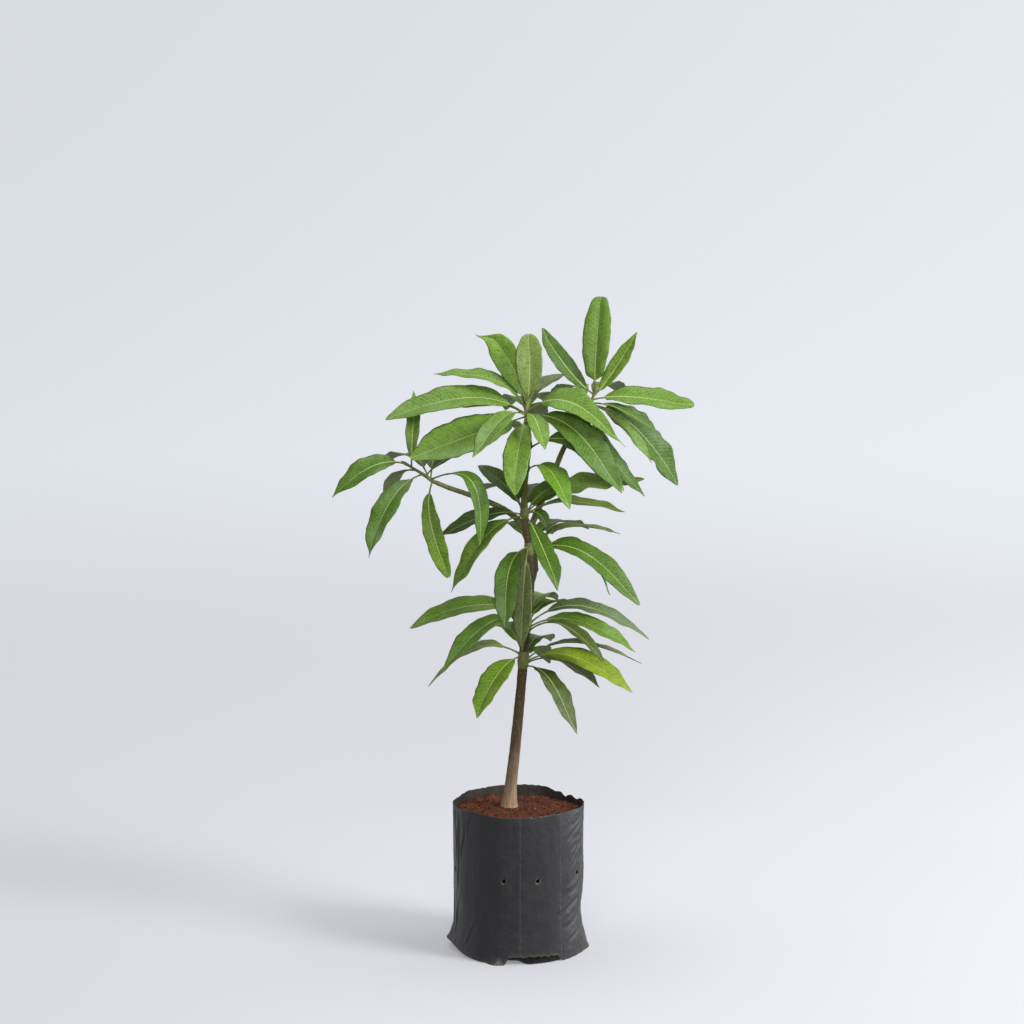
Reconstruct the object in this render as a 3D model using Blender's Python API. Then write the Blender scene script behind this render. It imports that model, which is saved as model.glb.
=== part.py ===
"""A young mango tree growing in a black polythene grow bag.

Lengths are in metres, +Z is up, and the origin is the middle of the bag's underside, on the floor.
Headings are degrees round +Z: 0 is to the right (+X), 90 away from the front (+Y), 180 to the left.
"""

import math
import random
from collections import namedtuple

import bmesh
import bpy
from mathutils import Vector
from mathutils.bvhtree import BVHTree
from mathutils.geometry import interpolate_bezier

MM = 0.001

# The grow bag: a polythene tube with a flat seal across its foot, filled with potting soil
BAG_RADIUS = 0.0808
BAG_HEIGHT = 0.186
FILM = 0.0014
RIM_CREASE = 0.0022
FOOT_SPREAD = 0.0028
FOOT_HEIGHT = 0.046
EAR = 0.0055
EAR_HEIGHT = 0.030
FOOT_ROUND = 0.004
CREASE_POWER = 24
WALL_HEIGHTS = (0.006, 0.018, 0.040, 0.080, 0.125, 0.160)
LOWEST_BEND = 0.002
SOIL_LEVEL = 0.180
SOIL_DIP = 0.003
SOIL_RINGS = (0.75, 0.45, 0.22)
HOLE_RADIUS = 0.0026
HOLE_HEIGHT = 0.1055
HOLE_HEADINGS = (-166, -102.6, -72.4, -26.2)
PUNCH_SIDES = 10
GAP = 0.0003
ROUND_STEPS = 40

# The trunk, from its flat cut on the soil to its tip, and the two boughs, as (x, y, z) in millimetres
TRUNK_ROUTE = (
    (-11, 5, 180.3), (-10.6, 5, 191), (-8.5, 4.5, 212), (-3, 3, 262), (3.5, 1, 330), (7.5, 0, 380),
    (12, 0, 430), (16, 0, 475), (13, 0, 515), (8.5, 0, 548), (8, 0, 585), (10, 0, 610), (13, 0, 637),
    (10.5, 0, 668),
)
TRUNK_RADII = (0.0074, 0.0033)
ROOT_FLARE = 0.0038
FLARE_HEIGHT = 0.016
LEFT_ROUTE = (
    (9.5, 1, 531), (3, 9, 542), (-9, 15, 552), (-23, 17, 560.5), (-43, 15, 569.5), (-65, 10, 578),
    (-86, 2, 586), (-101, -5, 593),
)
LEFT_RADII = (0.0040, 0.0028)
RIGHT_ROUTE = (
    (13.5, 2, 523), (18, 13, 540), (28, 26, 562), (42, 33, 594), (56, 28, 630), (71, 16, 660), (86, 6, 684),
)
RIGHT_RADII = (0.0042, 0.0028)
STEPS_A_SPAN = 4

# A leaf: how far its tip lies across, back and up from its foot, how high it arches over the straight
# line between them, how far it sways to its right, and its blade's width, all in millimetres, and the
# degrees that its upper face is rolled towards the front
Leaf = namedtuple("Leaf", "across back up arch sway width roll")

# A whorl of leaves on one stem: its node, its leaves from the lowest foot up, and how many more face away
Whorl = namedtuple("Whorl", "name leaves extra")

LOWER_LEAVES = (
    Leaf(60, -82, -70, 20, 0, 29, 0),
    Leaf(92, 34, -38, 16, 0, 28, -25),
    Leaf(130, -48, -30, 21, 0, 37, 22),
    Leaf(142, -4, -5, 22, 0, 28, 0),
    Leaf(-57, -78, -62, 13, 0, 34, 10),
    Leaf(-115, 14, -44, 24, 0, 30, 15),
)
SECOND_LEAVES = (
    Leaf(93, -66, -31, 24, 0, 29, 0),
    Leaf(131, -22, -28, 20, 0, 34, 20),
    Leaf(149, 14, -22, 28, 0, 30, 24),
    Leaf(-97, -78, -49, 20, 0, 34, 10),
    Leaf(-142, 0, -15, 18, 0, 35, 30),
)
UNDER_FORK_LEAVES = (
    Leaf(97, 4, -54, 34, 0, 30, 14),
    Leaf(130, -46, -62, 28, 0, 32, 34),
    Leaf(110, 16, 18, 20, 0, 26, 5),
    Leaf(-8, -20, -126, 4, 0, 26, 0),
    Leaf(-26, -60, -91, 20, 6, 31, 10),
    Leaf(-2, 34, -70, 12, 0, 30, 0),
)
FORK_LEAVES = (
    Leaf(-85, -34, -92, 17, 0, 31, 24),
    Leaf(40, -84, -82, 4, 0, 28, 0),
    Leaf(-103, -16, -27, 10, 0, 30, 28),
    Leaf(119, -38, 6, 14, 0, 28, 14),
    Leaf(24, -2, -22, 8, 0, 22, 30),
    Leaf(148, 44, 34, 17, 0, 34, 32),
    Leaf(52, 2, 42, 6, 0, 26, 40),
    Leaf(-55, 42, 52, 8, 0, 29, 20),
    Leaf(14, 66, 26, 8, 0, 28, 0),
)
LEADER_LEAVES = (
    Leaf(50, -70, -42, 22, 0, 34, 5),
)
SHOULDER_LEAVES = (
    Leaf(115, -22, -52, 30, 11, 34, 44),
    Leaf(-50, 62, 14, 12, 0, 30, 0),
)
TOP_LEAVES = (
    Leaf(-17, -72, -90, 8, 0, 34, 0),
    Leaf(-142, -44, -48, 1, 0, 54, 46),
    Leaf(114, -66, -90, 26, 0, 40, 44),
    Leaf(-78, 58, 6, 10, 0, 36, -20),
    Leaf(-62, -108, -43, 18, 0, 34, 0),
    Leaf(-174, -14, -5, 22, 0, 44, 36),
    Leaf(22, -52, -40, 12, 0, 26, 0),
    Leaf(118, -54, -40, 30, 0, 40, 40),
    Leaf(-116, 26, 42, 20, 0, 34, 18),
    Leaf(52, 62, 38, 10, 0, 34, 0),
    Leaf(-51, 48, 97, 9, 0, 34, 55),
    Leaf(2, 16, 87, 8, 4, 34, 0),
)
LEFT_LEAVES = (
    Leaf(22, -50, -114, -4, 10, 24, 30),
    Leaf(62, -42, -77, 44, 0, 28, 12),
    Leaf(75, 24, 34, 8, 0, 28, 10),
    Leaf(-65, -85, -93, 14, 5, 36, 5),
    Leaf(-45, 34, -40, 14, 0, 30, 0),
    Leaf(5, 32, 93, 6, 0, 18, 0),
    Leaf(-92, -22, -38, 15, 0, 36, 34),
)
RIGHT_LEAVES = (
    Leaf(70, 24, -118, -11, 0, 32, 45),
    Leaf(114, 46, -104, 16, 0, 46, 64),
    Leaf(74, -36, -70, 9, 0, 30, 5),
    Leaf(82, -58, -34, 8, 0, 24, 5),
    Leaf(125, -18, -8, 7, 0, 36, 38),
    Leaf(56, 22, 80, -3, 0, 21, 45),
    Leaf(-66, 26, 80, -5, 0, 24, 50),
    Leaf(8, 28, 117, 5, 0, 35, 0),
)

# Whorls round the trunk, by the height of their lowest and highest feet
TRUNK_WHORLS = (
    (Whorl("leaves_lower", LOWER_LEAVES, 3), 0.362, 0.377),
    (Whorl("leaves_second", SECOND_LEAVES, 3), 0.407, 0.426),
    (Whorl("leaves_under_fork", UNDER_FORK_LEAVES, 3), 0.505, 0.514),
    (Whorl("leaves_fork", FORK_LEAVES, 2), 0.551, 0.559),
    (Whorl("leaf_leader", LEADER_LEAVES, 0), 0.609, 0.612),
    (Whorl("leaves_shoulder", SHOULDER_LEAVES, 0), 0.637, 0.645),
)
# Whorls at a shoot's tip: the limb that carries the shoot, and where the shoot goes from there
TOP_SHOOT = ((10, 0, 678), (10.5, 0, 690))
LEFT_SHOOT = ((-118, -8.5, 604), (-137, -11, 616))
RIGHT_SHOOT = ((91, 3, 693), (95, 1, 706))
SHOOT_RADII = (0.0027, 0.0014)
SHOOT_LEAD = 0.006
TIP_WHORLS = (
    (Whorl("leaves_top", TOP_LEAVES, 3), TRUNK_ROUTE, TOP_SHOOT),
    (Whorl("leaves_left", LEFT_LEAVES, 2), LEFT_ROUTE, LEFT_SHOOT),
    (Whorl("leaves_right", RIGHT_LEAVES, 2), RIGHT_ROUTE, RIGHT_SHOOT),
)

# How every leaf is built: its midrib is a curve whose two guides stand along the line from foot to tip
GUIDES = (0.28, 0.66)
EARLY_BEND = 0.35
PATH_STEPS = 48
STALK_SHARE = 0.13
STALK_RADIUS = 0.0012
BLADE_THICKNESS = 0.015
FOLD = 0.20
TIP_HALF_WIDTH = 0.0005
BLADE_STATIONS = (0.05, 0.14, 0.28, 0.44, 0.60, 0.74, 0.86, 0.95, 1.0)
COLLAR = 0.0021
COLLAR_MARGIN = 0.0032
COLLAR_STEPS = 4
COLLAR_SWELL = (0.55, 0.45)

# The leaves that face away from the front, which a seeded rule adds to each whorl where there is room
BACK_SEED = 13
BACK_TRIES = 60
BACK_HEADINGS = (56, 124)
BACK_REACH = (88, 145)
BACK_DROP = (-28, 22)
BACK_WIDTHS = (28, 36)
BACK_ARCH = 20

FILM_COLOUR = (0.028, 0.029, 0.031, 1)
SOIL_COLOUR = (0.130, 0.052, 0.026, 1)
BARK_COLOUR = (0.105, 0.080, 0.055, 1)
SHOOT_COLOUR = (0.180, 0.190, 0.070, 1)
LEAF_COLOUR = (0.075, 0.190, 0.025, 1)


def clear_scene():
    for obj in list(bpy.data.objects):
        bpy.data.objects.remove(obj, do_unlink=True)


def material(name, colour, roughness, metallic=0.0):
    made = bpy.data.materials.new(name)
    made.use_nodes = True
    shader = made.node_tree.nodes["Principled BSDF"]
    shader.inputs["Base Color"].default_value = colour
    shader.inputs["Roughness"].default_value = roughness
    shader.inputs["Metallic"].default_value = metallic
    made.diffuse_color = colour
    return made


def new_object(name, mesh, collection, finish):
    obj = bpy.data.objects.new(name, mesh)
    collection.objects.link(obj)
    mesh.materials.clear()
    mesh.materials.append(finish)
    return obj


def in_metres(points):
    return [Vector(p) * MM for p in points]


def smooth_route(points):
    """Points on a smooth curve through the given ones, with STEPS_A_SPAN steps between two of them."""
    ends = [points[0] * 2 - points[1], *points, points[-1] * 2 - points[-2]]
    route = []
    for a, b, c, d in zip(ends, ends[1:], ends[2:], ends[3:]):
        span = interpolate_bezier(b, b + (c - a) / 6, c - (d - b) / 6, c, STEPS_A_SPAN + 1)
        route.extend(span[:-1])
    route.append(points[-1])
    return route


def tapering(route, radii):
    """A radius for each point of the route, falling evenly with the length run."""
    run = [0.0]
    for a, b in zip(route, route[1:]):
        run.append(run[-1] + (b - a).length)
    return [radii[0] + (radii[1] - radii[0]) * r / run[-1] for r in run]


def tube(name, route, radii, collection, finish, resolution=3):
    """A closed round tube along the route, made from a curve with a bevel."""
    curve = bpy.data.curves.new(name, "CURVE")
    curve.dimensions = "3D"
    curve.bevel_depth = 1.0
    curve.bevel_resolution = resolution
    curve.use_fill_caps = True
    spline = curve.splines.new("POLY")
    spline.points.add(len(route) - 1)
    for point, place, radius in zip(spline.points, route, radii):
        point.co = (*place, 1)
        point.radius = radius
    guide = bpy.data.objects.new(name + "_line", curve)
    collection.objects.link(guide)
    mesh = bpy.data.meshes.new_from_object(guide.evaluated_get(bpy.context.evaluated_depsgraph_get()))
    bpy.data.objects.remove(guide, do_unlink=True)
    welded = bmesh.new()
    welded.from_mesh(mesh)
    bmesh.ops.remove_doubles(welded, verts=welded.verts, dist=GAP / 10)
    bmesh.ops.recalc_face_normals(welded, faces=welded.faces)
    welded.to_mesh(mesh)
    welded.free()
    mesh.name = name
    return new_object(name, mesh, collection, finish)


def loft(name, sections, collection, finish):
    """A closed body through rings of the same number of points, with flat ends."""
    mesh = bpy.data.meshes.new(name)
    around = len(sections[0])
    faces = []
    for ring in range(len(sections) - 1):
        for k in range(around):
            a, b = ring * around + k, ring * around + (k + 1) % around
            faces.append((a, b, b + around, a + around))
    faces.append(tuple(reversed(range(around))))
    faces.append(tuple(range((len(sections) - 1) * around, len(sections) * around)))
    mesh.from_pydata([p for ring in sections for p in ring], [], faces)
    shaped = bmesh.new()
    shaped.from_mesh(mesh)
    bmesh.ops.triangulate(shaped, faces=shaped.faces)
    bmesh.ops.recalc_face_normals(shaped, faces=shaped.faces)
    shaped.to_mesh(mesh)
    shaped.free()
    return new_object(name, mesh, collection, finish)


def joined(obj, collection, operation):
    """Joins to obj, or cuts from it, what the collection holds, and applies that."""
    change = obj.modifiers.new(operation.lower(), "BOOLEAN")
    change.operation = operation
    change.operand_type = "COLLECTION"
    change.collection = collection
    change.solver = "EXACT"
    mesh = bpy.data.meshes.new_from_object(obj.evaluated_get(bpy.context.evaluated_depsgraph_get()))
    obj.modifiers.clear()
    obj.data = mesh
    return obj


def emptied(collection):
    for obj in list(collection.objects):
        bpy.data.objects.remove(obj, do_unlink=True)


def blade_half_width(u):
    """The share of the half width at u, from 0 at the blade's foot to 1 at its tip."""
    return math.sin(math.pi * u**0.9) ** 0.65 if 0 < u < 1 else 0.0


def midrib(leaf, foot):
    """Places along the midrib from the stalk's foot to the blade's tip, as (place, side, normal)."""
    chord = Vector((leaf.across, leaf.back, leaf.up)) * MM
    right = Vector((chord.y, -chord.x, 0)).normalized()
    over = right.cross(chord).normalized()
    bend = (over * leaf.arch + right * leaf.sway) * MM * 4 / 3
    first = foot + chord * GUIDES[0] + bend * (1 + EARLY_BEND)
    second = foot + chord * GUIDES[1] + bend * (1 - EARLY_BEND)
    line = interpolate_bezier(foot, first, second, foot + chord, PATH_STEPS + 1)
    turn = math.copysign(math.radians(leaf.roll), leaf.across * leaf.roll)
    frames = []
    for step, place in enumerate(line):
        ahead = (line[min(step + 1, PATH_STEPS)] - line[max(step - 1, 0)]).normalized()
        level = (right - ahead * right.dot(ahead)).normalized()
        side = level * math.cos(turn) - level.cross(ahead) * math.sin(turn)
        frames.append((place, side, side.cross(ahead)))
    return frames


def length_of(line):
    return sum((b[0] - a[0]).length for a, b in zip(line, line[1:]))


def leaf_sections(leaf, foot):
    """Four-cornered sections from the stalk's foot to the blade's tip: two edges, the top and the back."""
    line = midrib(leaf, foot)
    thickness = length_of(line) * BLADE_THICKNESS
    shares = [0, STALK_SHARE / 2, STALK_SHARE]
    shares += [STALK_SHARE + (1 - STALK_SHARE) * u for u in BLADE_STATIONS]
    sections = []
    for share in shares:
        place, side, normal = line[round(share * PATH_STEPS)]
        u = (share - STALK_SHARE) / (1 - STALK_SHARE)
        half = max(leaf.width * MM / 2 * blade_half_width(u), STALK_RADIUS if u <= 0 else TIP_HALF_WIDTH)
        blade = min(1, max(0, (half - STALK_RADIUS) / STALK_RADIUS))
        thick = STALK_RADIUS if u <= 0 else thickness / 2
        thick = min(thick, half) if u > 0.5 else thick
        edge = place + normal * (FOLD * half * blade)
        top, back = place + normal * thick, place - normal * thick
        sections.append([edge - side * half, top, edge + side * half, back])
    return sections


def blade_tree(sections):
    """The faces of the blade alone, for finding what it touches."""
    rings = sections[2:]
    around = len(rings[0])
    faces = []
    for ring in range(len(rings) - 1):
        for k in range(around):
            a, b = ring * around + k, ring * around + (k + 1) % around
            faces.append([a, b, b + around, a + around])
    return BVHTree.FromPolygons([p for ring in rings for p in ring], faces)


def back_leaf(draw):
    """A leaf that faces away from the front."""
    heading = math.radians(draw.uniform(*BACK_HEADINGS))
    reach = draw.uniform(*BACK_REACH)
    up = draw.uniform(*BACK_DROP)
    width = draw.uniform(*BACK_WIDTHS)
    return Leaf(reach * math.cos(heading), reach * math.sin(heading), up, BACK_ARCH, 0, width, 0)


def placed_leaves(whorl, number, foot_of, taken):
    """The sections of each leaf of a whorl, without those whose blades would touch what is taken."""
    placed, blades = [], []
    for k, leaf in enumerate(whorl.leaves):
        sections = leaf_sections(leaf, foot_of(leaf, k / max(1, len(whorl.leaves) - 1)))
        blade = blade_tree(sections)
        if not any(blade.overlap(other) for other in taken):
            placed.append(sections)
            blades.append(blade)
    draw = random.Random(BACK_SEED + number)
    wanted = len(placed) + whorl.extra
    for _ in range(BACK_TRIES):
        leaf = back_leaf(draw)
        sections = leaf_sections(leaf, foot_of(leaf, draw.random()))
        blade = blade_tree(sections)
        if len(placed) < wanted and not any(blade.overlap(other) for other in taken + blades):
            placed.append(sections)
            blades.append(blade)
    taken.extend(blades)
    return placed


def trunk_point(route, height):
    """The place on the trunk's middle line at that height, and how far along the route it is."""
    for k, (a, b) in enumerate(zip(route, route[1:])):
        if a.z <= height <= b.z:
            return a.lerp(b, (height - a.z) / (b.z - a.z)), k
    return route[-1], len(route) - 1


def make_trunk(collection, helpers, finish):
    """The trunk, and a slightly fatter copy of it that cuts what meets it."""
    route = smooth_route(in_metres(TRUNK_ROUTE))
    radii = tapering(route, TRUNK_RADII)
    foot = route[0].z
    radii = [r + ROOT_FLARE * math.exp(-(p.z - foot) / FLARE_HEIGHT) for r, p in zip(radii, route)]
    tube("trunk", route, radii, collection, finish)
    tube("trunk_clearance", route, [r + GAP for r in radii], helpers, finish)
    return route, radii


def make_bough(name, route_mm, radii, collection, helpers, finish):
    """One tapering limb that starts on the trunk's middle line and is cut clear of the trunk."""
    route = smooth_route(in_metres(route_mm))
    bough = tube(name, route, tapering(route, radii), collection, finish)
    joined(bough, helpers, "DIFFERENCE")


def trunk_foot(trunk, low, high):
    """Finds the foot of a leaf on the side of the trunk that the leaf heads for."""
    def foot_of(leaf, share):
        route, radii = trunk
        place, at = trunk_point(route, low + (high - low) * share)
        return place + Vector((leaf.across, leaf.back, 0)).normalized() * radii[at]
    return foot_of


def shoot_route(limb_mm, beyond_mm):
    """The shoot's middle line, which starts just clear of its limb's tip and leaves it straight on."""
    limb = smooth_route(in_metres(limb_mm))
    ahead = (limb[-1] - limb[-2]).normalized()
    start = limb[-1] + ahead * GAP
    return smooth_route([start, start + ahead * SHOOT_LEAD, *in_metres(beyond_mm)])


def shoot_foot(route):
    """Finds the foot of a leaf on a shoot's middle line, above its lowest part."""
    places = route[STEPS_A_SPAN:]
    return lambda leaf, share: places[round(share * (len(places) - 1))]


def make_trunk_whorl(whorl, number, low, high, trunk, taken, collections, finish):
    """Leaves on a swollen ring round the trunk, cut clear of it."""
    plant, helpers, grouped = collections
    route, radii = trunk
    for k, sections in enumerate(placed_leaves(whorl, number, trunk_foot(trunk, low, high), taken)):
        loft(f"{whorl.name}_{k}", sections, grouped, finish)
    ring, swell = [], []
    for k in range(COLLAR_STEPS + 1):
        share = k / COLLAR_STEPS
        place, at = trunk_point(route, low - COLLAR_MARGIN + (high - low + 2 * COLLAR_MARGIN) * share)
        ring.append(place)
        swell.append(radii[at] + COLLAR * (COLLAR_SWELL[0] + COLLAR_SWELL[1] * math.sin(math.pi * share)))
    collar = tube(whorl.name, ring, swell, plant, finish, resolution=2)
    joined(collar, grouped, "UNION")
    emptied(grouped)
    joined(collar, helpers, "DIFFERENCE")


def make_tip_whorl(whorl, number, limb, beyond, taken, collections, finish):
    """Leaves on the short shoot that a limb ends in."""
    plant, _, grouped = collections
    route = shoot_route(limb, beyond)
    for k, sections in enumerate(placed_leaves(whorl, number, shoot_foot(route), taken)):
        loft(f"{whorl.name}_{k}", sections, grouped, finish)
    stem = tube(whorl.name, route, tapering(route, SHOOT_RADII), plant, finish, resolution=2)
    joined(stem, grouped, "UNION")
    emptied(grouped)


def bag_radius(angle, height, inset=0.0):
    """The film's outer face: round, with a crease down each side, a spread foot and two ears."""
    low = max(0.0, 1 - height / FOOT_HEIGHT)
    crease = abs(math.cos(angle)) ** CREASE_POWER
    ear = EAR * max(0.0, 1 - height / EAR_HEIGHT) * crease
    rim = RIM_CREASE * (height / BAG_HEIGHT) ** 3 * crease
    foot = FOOT_SPREAD * low**1.5 - FOOT_ROUND * max(0.0, 1 - height / FOOT_ROUND) ** 2 * (1 - crease)
    return BAG_RADIUS + foot + ear + rim - inset


def bag_ring(height, inset=0.0, level=None):
    """The film's section at that height, set in by the inset, and moved to the level if one is given."""
    ring = []
    for k in range(ROUND_STEPS):
        angle = 2 * math.pi * k / ROUND_STEPS
        radius = bag_radius(angle, height, inset)
        ring.append(Vector((radius * math.cos(angle), radius * math.sin(angle), level or height)))
    return ring


def make_bag(collection, helpers, finish):
    """An open sack of film with punched drainage holes through both of its sides."""
    sections = [bag_ring(z) for z in (0.0, LOWEST_BEND, *WALL_HEIGHTS, BAG_HEIGHT)]
    sections += [bag_ring(z, FILM) for z in (BAG_HEIGHT, *reversed(WALL_HEIGHTS))]
    sections.append(bag_ring(LOWEST_BEND, FILM * 2, level=FILM))
    bag = loft("grow_bag", sections, collection, finish)
    for number, heading in enumerate(HOLE_HEADINGS):
        bpy.ops.mesh.primitive_cylinder_add(
            vertices=PUNCH_SIDES, radius=HOLE_RADIUS, depth=BAG_RADIUS * 3, location=(0, 0, HOLE_HEIGHT),
            rotation=(math.pi / 2, 0, math.radians(heading + 90)),
        )
        punch = bpy.context.object
        punch.name = f"hole_punch_{number}"
        for owner in list(punch.users_collection):
            owner.objects.unlink(punch)
        helpers.objects.link(punch)
    joined(bag, helpers, "DIFFERENCE")
    emptied(helpers)
    return bag


def make_soil(collection, finish):
    """The potting soil, which fills the bag and is level where the trunk stands on it."""
    clear = FILM + GAP
    edge = SOIL_LEVEL - SOIL_DIP
    sections = [bag_ring(LOWEST_BEND, FILM * 2 + GAP, level=FILM + GAP)]
    sections += [bag_ring(z, clear) for z in (*WALL_HEIGHTS, edge)]
    foot = Vector(TRUNK_ROUTE[0]) * MM
    flat = SOIL_RINGS[-1]
    for share in SOIL_RINGS:
        level = SOIL_LEVEL - SOIL_DIP * ((share - flat) / (1 - flat)) ** 2
        middle = Vector((foot.x * (1 - share), foot.y * (1 - share), level))
        sections.append([middle + Vector((p.x * share, p.y * share, 0)) for p in bag_ring(edge, clear)])
    return loft("soil", sections, collection, finish)


def build():
    clear_scene()
    scene = bpy.context.scene
    plant = bpy.data.collections.new("mango_sapling")
    helpers = bpy.data.collections.new("helpers")
    grouped = bpy.data.collections.new("leaves_to_join")
    for collection in (plant, helpers, grouped):
        scene.collection.children.link(collection)
    film = material("black_film", FILM_COLOUR, 0.38)
    earth = material("red_soil", SOIL_COLOUR, 0.95)
    bark = material("bark", BARK_COLOUR, 0.85)
    shoot = material("green_shoot", SHOOT_COLOUR, 0.6)
    blade = material("leaf", LEAF_COLOUR, 0.42)
    make_bag(plant, helpers, film)
    make_soil(plant, earth)
    trunk = make_trunk(plant, helpers, bark)
    make_bough("bough_left", LEFT_ROUTE, LEFT_RADII, plant, helpers, shoot)
    make_bough("bough_right", RIGHT_ROUTE, RIGHT_RADII, plant, helpers, shoot)
    bpy.context.view_layer.update()
    graph = bpy.context.evaluated_depsgraph_get()
    limbs = [plant.objects[name] for name in ("trunk", "bough_left", "bough_right")]
    taken = [BVHTree.FromObject(limb, graph) for limb in limbs]
    collections = (plant, helpers, grouped)
    for number, (whorl, low, high) in enumerate(TRUNK_WHORLS):
        make_trunk_whorl(whorl, number, low, high, trunk, taken, collections, blade)
    for number, (whorl, limb, beyond) in enumerate(TIP_WHORLS):
        make_tip_whorl(whorl, number + len(TRUNK_WHORLS), limb, beyond, taken, collections, blade)
    emptied(helpers)


build()
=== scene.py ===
"""The looks of a young mango tree in a black film grow bag, laid out as an add-on.

Lengths are in metres unless a name says otherwise, +Z is up, and the origin is the middle of the bag's
underside. Headings are degrees round +Z: 0 is to the right (+X), 90 away from the front (+Y).
"""

import math
import random
from collections import namedtuple

import bmesh
import bpy
import numpy as np
from bpy.props import FloatProperty, FloatVectorProperty, IntProperty, PointerProperty
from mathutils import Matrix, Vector, noise
from mathutils.bvhtree import BVHTree
from mathutils.geometry import interpolate_bezier


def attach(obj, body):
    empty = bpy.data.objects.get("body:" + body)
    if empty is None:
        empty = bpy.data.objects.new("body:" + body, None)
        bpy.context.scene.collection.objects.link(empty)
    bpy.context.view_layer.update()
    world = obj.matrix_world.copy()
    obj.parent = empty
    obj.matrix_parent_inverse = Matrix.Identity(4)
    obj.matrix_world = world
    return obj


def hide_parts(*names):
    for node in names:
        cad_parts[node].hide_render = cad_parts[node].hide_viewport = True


bl_info = {
    "name": "Potted Mango Sapling",
    "version": (1, 0, 0),
    "blender": (4, 5, 0),
    "location": "3D View > Sidebar > Mango",
    "description": "Builds the leaves, bark, grow bag and soil of a young mango tree",
    "category": "Add Mesh",
}

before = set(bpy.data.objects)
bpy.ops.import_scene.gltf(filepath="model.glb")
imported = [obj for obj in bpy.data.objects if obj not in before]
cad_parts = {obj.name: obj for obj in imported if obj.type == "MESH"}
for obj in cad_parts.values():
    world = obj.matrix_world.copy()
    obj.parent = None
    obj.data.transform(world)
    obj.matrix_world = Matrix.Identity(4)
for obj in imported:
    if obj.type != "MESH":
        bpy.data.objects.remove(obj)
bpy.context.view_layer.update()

MM = 0.001
TAU = 2 * math.pi

# The form of the bag and its soil, as their solids have it
BAG_RADIUS = 0.0808
BAG_HEIGHT = 0.186
RIM_CREASE = 0.0022
FOOT_SPREAD = 0.0028
FOOT_HEIGHT = 0.046
EAR_HEIGHT = 0.030
FOOT_ROUND = 0.004
EAR = 0.0055
CREASE_POWER = 24
SOIL_LEVEL = 0.180
SOIL_DIP = 0.003
HOLE_RADIUS = 0.0026
HOLE_HEIGHT = 0.1055
HOLE_HEADINGS = (-166, -102.6, -72.4, -26.2)
GAP = 0.0003

# The fine soil, which the solid doesn't have: how far its top stays inside the film, how far its edge is
# tucked in and down, how far inside the bag its side lies and at what heights, and how far below its level it
# takes a dark soil as painted shade, seen through the holes
SOIL_CLEAR = 0.0008
SOIL_TUCK = 0.0030
SOIL_SIDE_INSET = 0.0060
SOIL_SIDE_HEIGHTS = (0.160, 0.125, 0.080, 0.040, 0.020)
PAINTED_SHADE_DEPTH = 0.012

# The limbs' middle lines as (x, y, z) in millimetres, and their radii at foot and tip
TRUNK_ROUTE = (
    (-11, 5, 180.3), (-10.6, 5, 191), (-8.5, 4.5, 212), (-3, 3, 262), (3.5, 1, 330), (7.5, 0, 380),
    (12, 0, 430), (16, 0, 475), (13, 0, 515), (8.5, 0, 548), (8, 0, 585), (10, 0, 610), (13, 0, 637),
    (10.5, 0, 668),
)
LEFT_ROUTE = (
    (9.5, 1, 531), (3, 9, 542), (-9, 15, 552), (-23, 17, 560.5), (-43, 15, 569.5), (-65, 10, 578),
    (-86, 2, 586), (-101, -5, 593),
)
RIGHT_ROUTE = (
    (13.5, 2, 523), (18, 13, 540), (28, 26, 562), (42, 33, 594), (56, 28, 630), (71, 16, 660), (86, 6, 684),
)
TRUNK_RADII = (0.0074, 0.0033)
LEFT_RADII = (0.0040, 0.0028)
RIGHT_RADII = (0.0042, 0.0028)
SHOOT_RADII = (0.0027, 0.0014)
ROOT_FLARE = 0.0038
FLARE_HEIGHT = 0.016
SHOOT_LEAD = 0.006
STEPS_A_SPAN = 4

# A leaf: how far its tip lies across, back and up from its foot, how high it arches, how far it sways to
# its right, and its width, all in millimetres, the degrees its face is rolled towards the front, the tone
# of its face and the form of its tip
Leaf = namedtuple("Leaf", "across back up arch sway width roll tone tip", defaults=("mid", "drip"))

# A whorl: its node, its leaves from the lowest foot up, and how many more face away
Whorl = namedtuple("Whorl", "name leaves extra")

LOWER_LEAVES = (
    Leaf(60, -82, -70, 20, 0, 29, 0, "moss"),
    Leaf(92, 34, -38, 16, 0, 28, -25, "grey"),
    Leaf(130, -48, -30, 21, 0, 37, 22, "young"),
    Leaf(142, -4, -5, 22, 0, 28, 0, "grey", "tailed"),
    Leaf(-57, -78, -62, 13, 0, 34, 10, "fresh"),
    Leaf(-115, 14, -44, 24, 0, 30, 15, "pale", "tailed"),
)
SECOND_LEAVES = (
    Leaf(93, -66, -31, 24, 0, 29, 0, "moss"),
    Leaf(131, -22, -28, 20, 0, 34, 20, "mid"),
    Leaf(149, 14, -22, 28, 0, 30, 24, "slate"),
    Leaf(-97, -78, -49, 20, 0, 34, 10, "deep"),
    Leaf(-142, 0, -15, 18, 0, 35, 30, "mid", "strap"),
)
UNDER_FORK_LEAVES = (
    Leaf(97, 4, -54, 34, 0, 30, 14, "deep"),
    Leaf(130, -46, -62, 28, 0, 32, 34, "deep", "strap"),
    Leaf(110, 16, 18, 20, 0, 26, 5, "olive"),
    Leaf(-8, -20, -126, 4, 0, 26, 0, "grey"),
    Leaf(-26, -60, -91, 20, 6, 31, 10, "deep", "strap"),
    Leaf(-2, 34, -70, 12, 0, 30, 0, "grey"),
)
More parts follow.
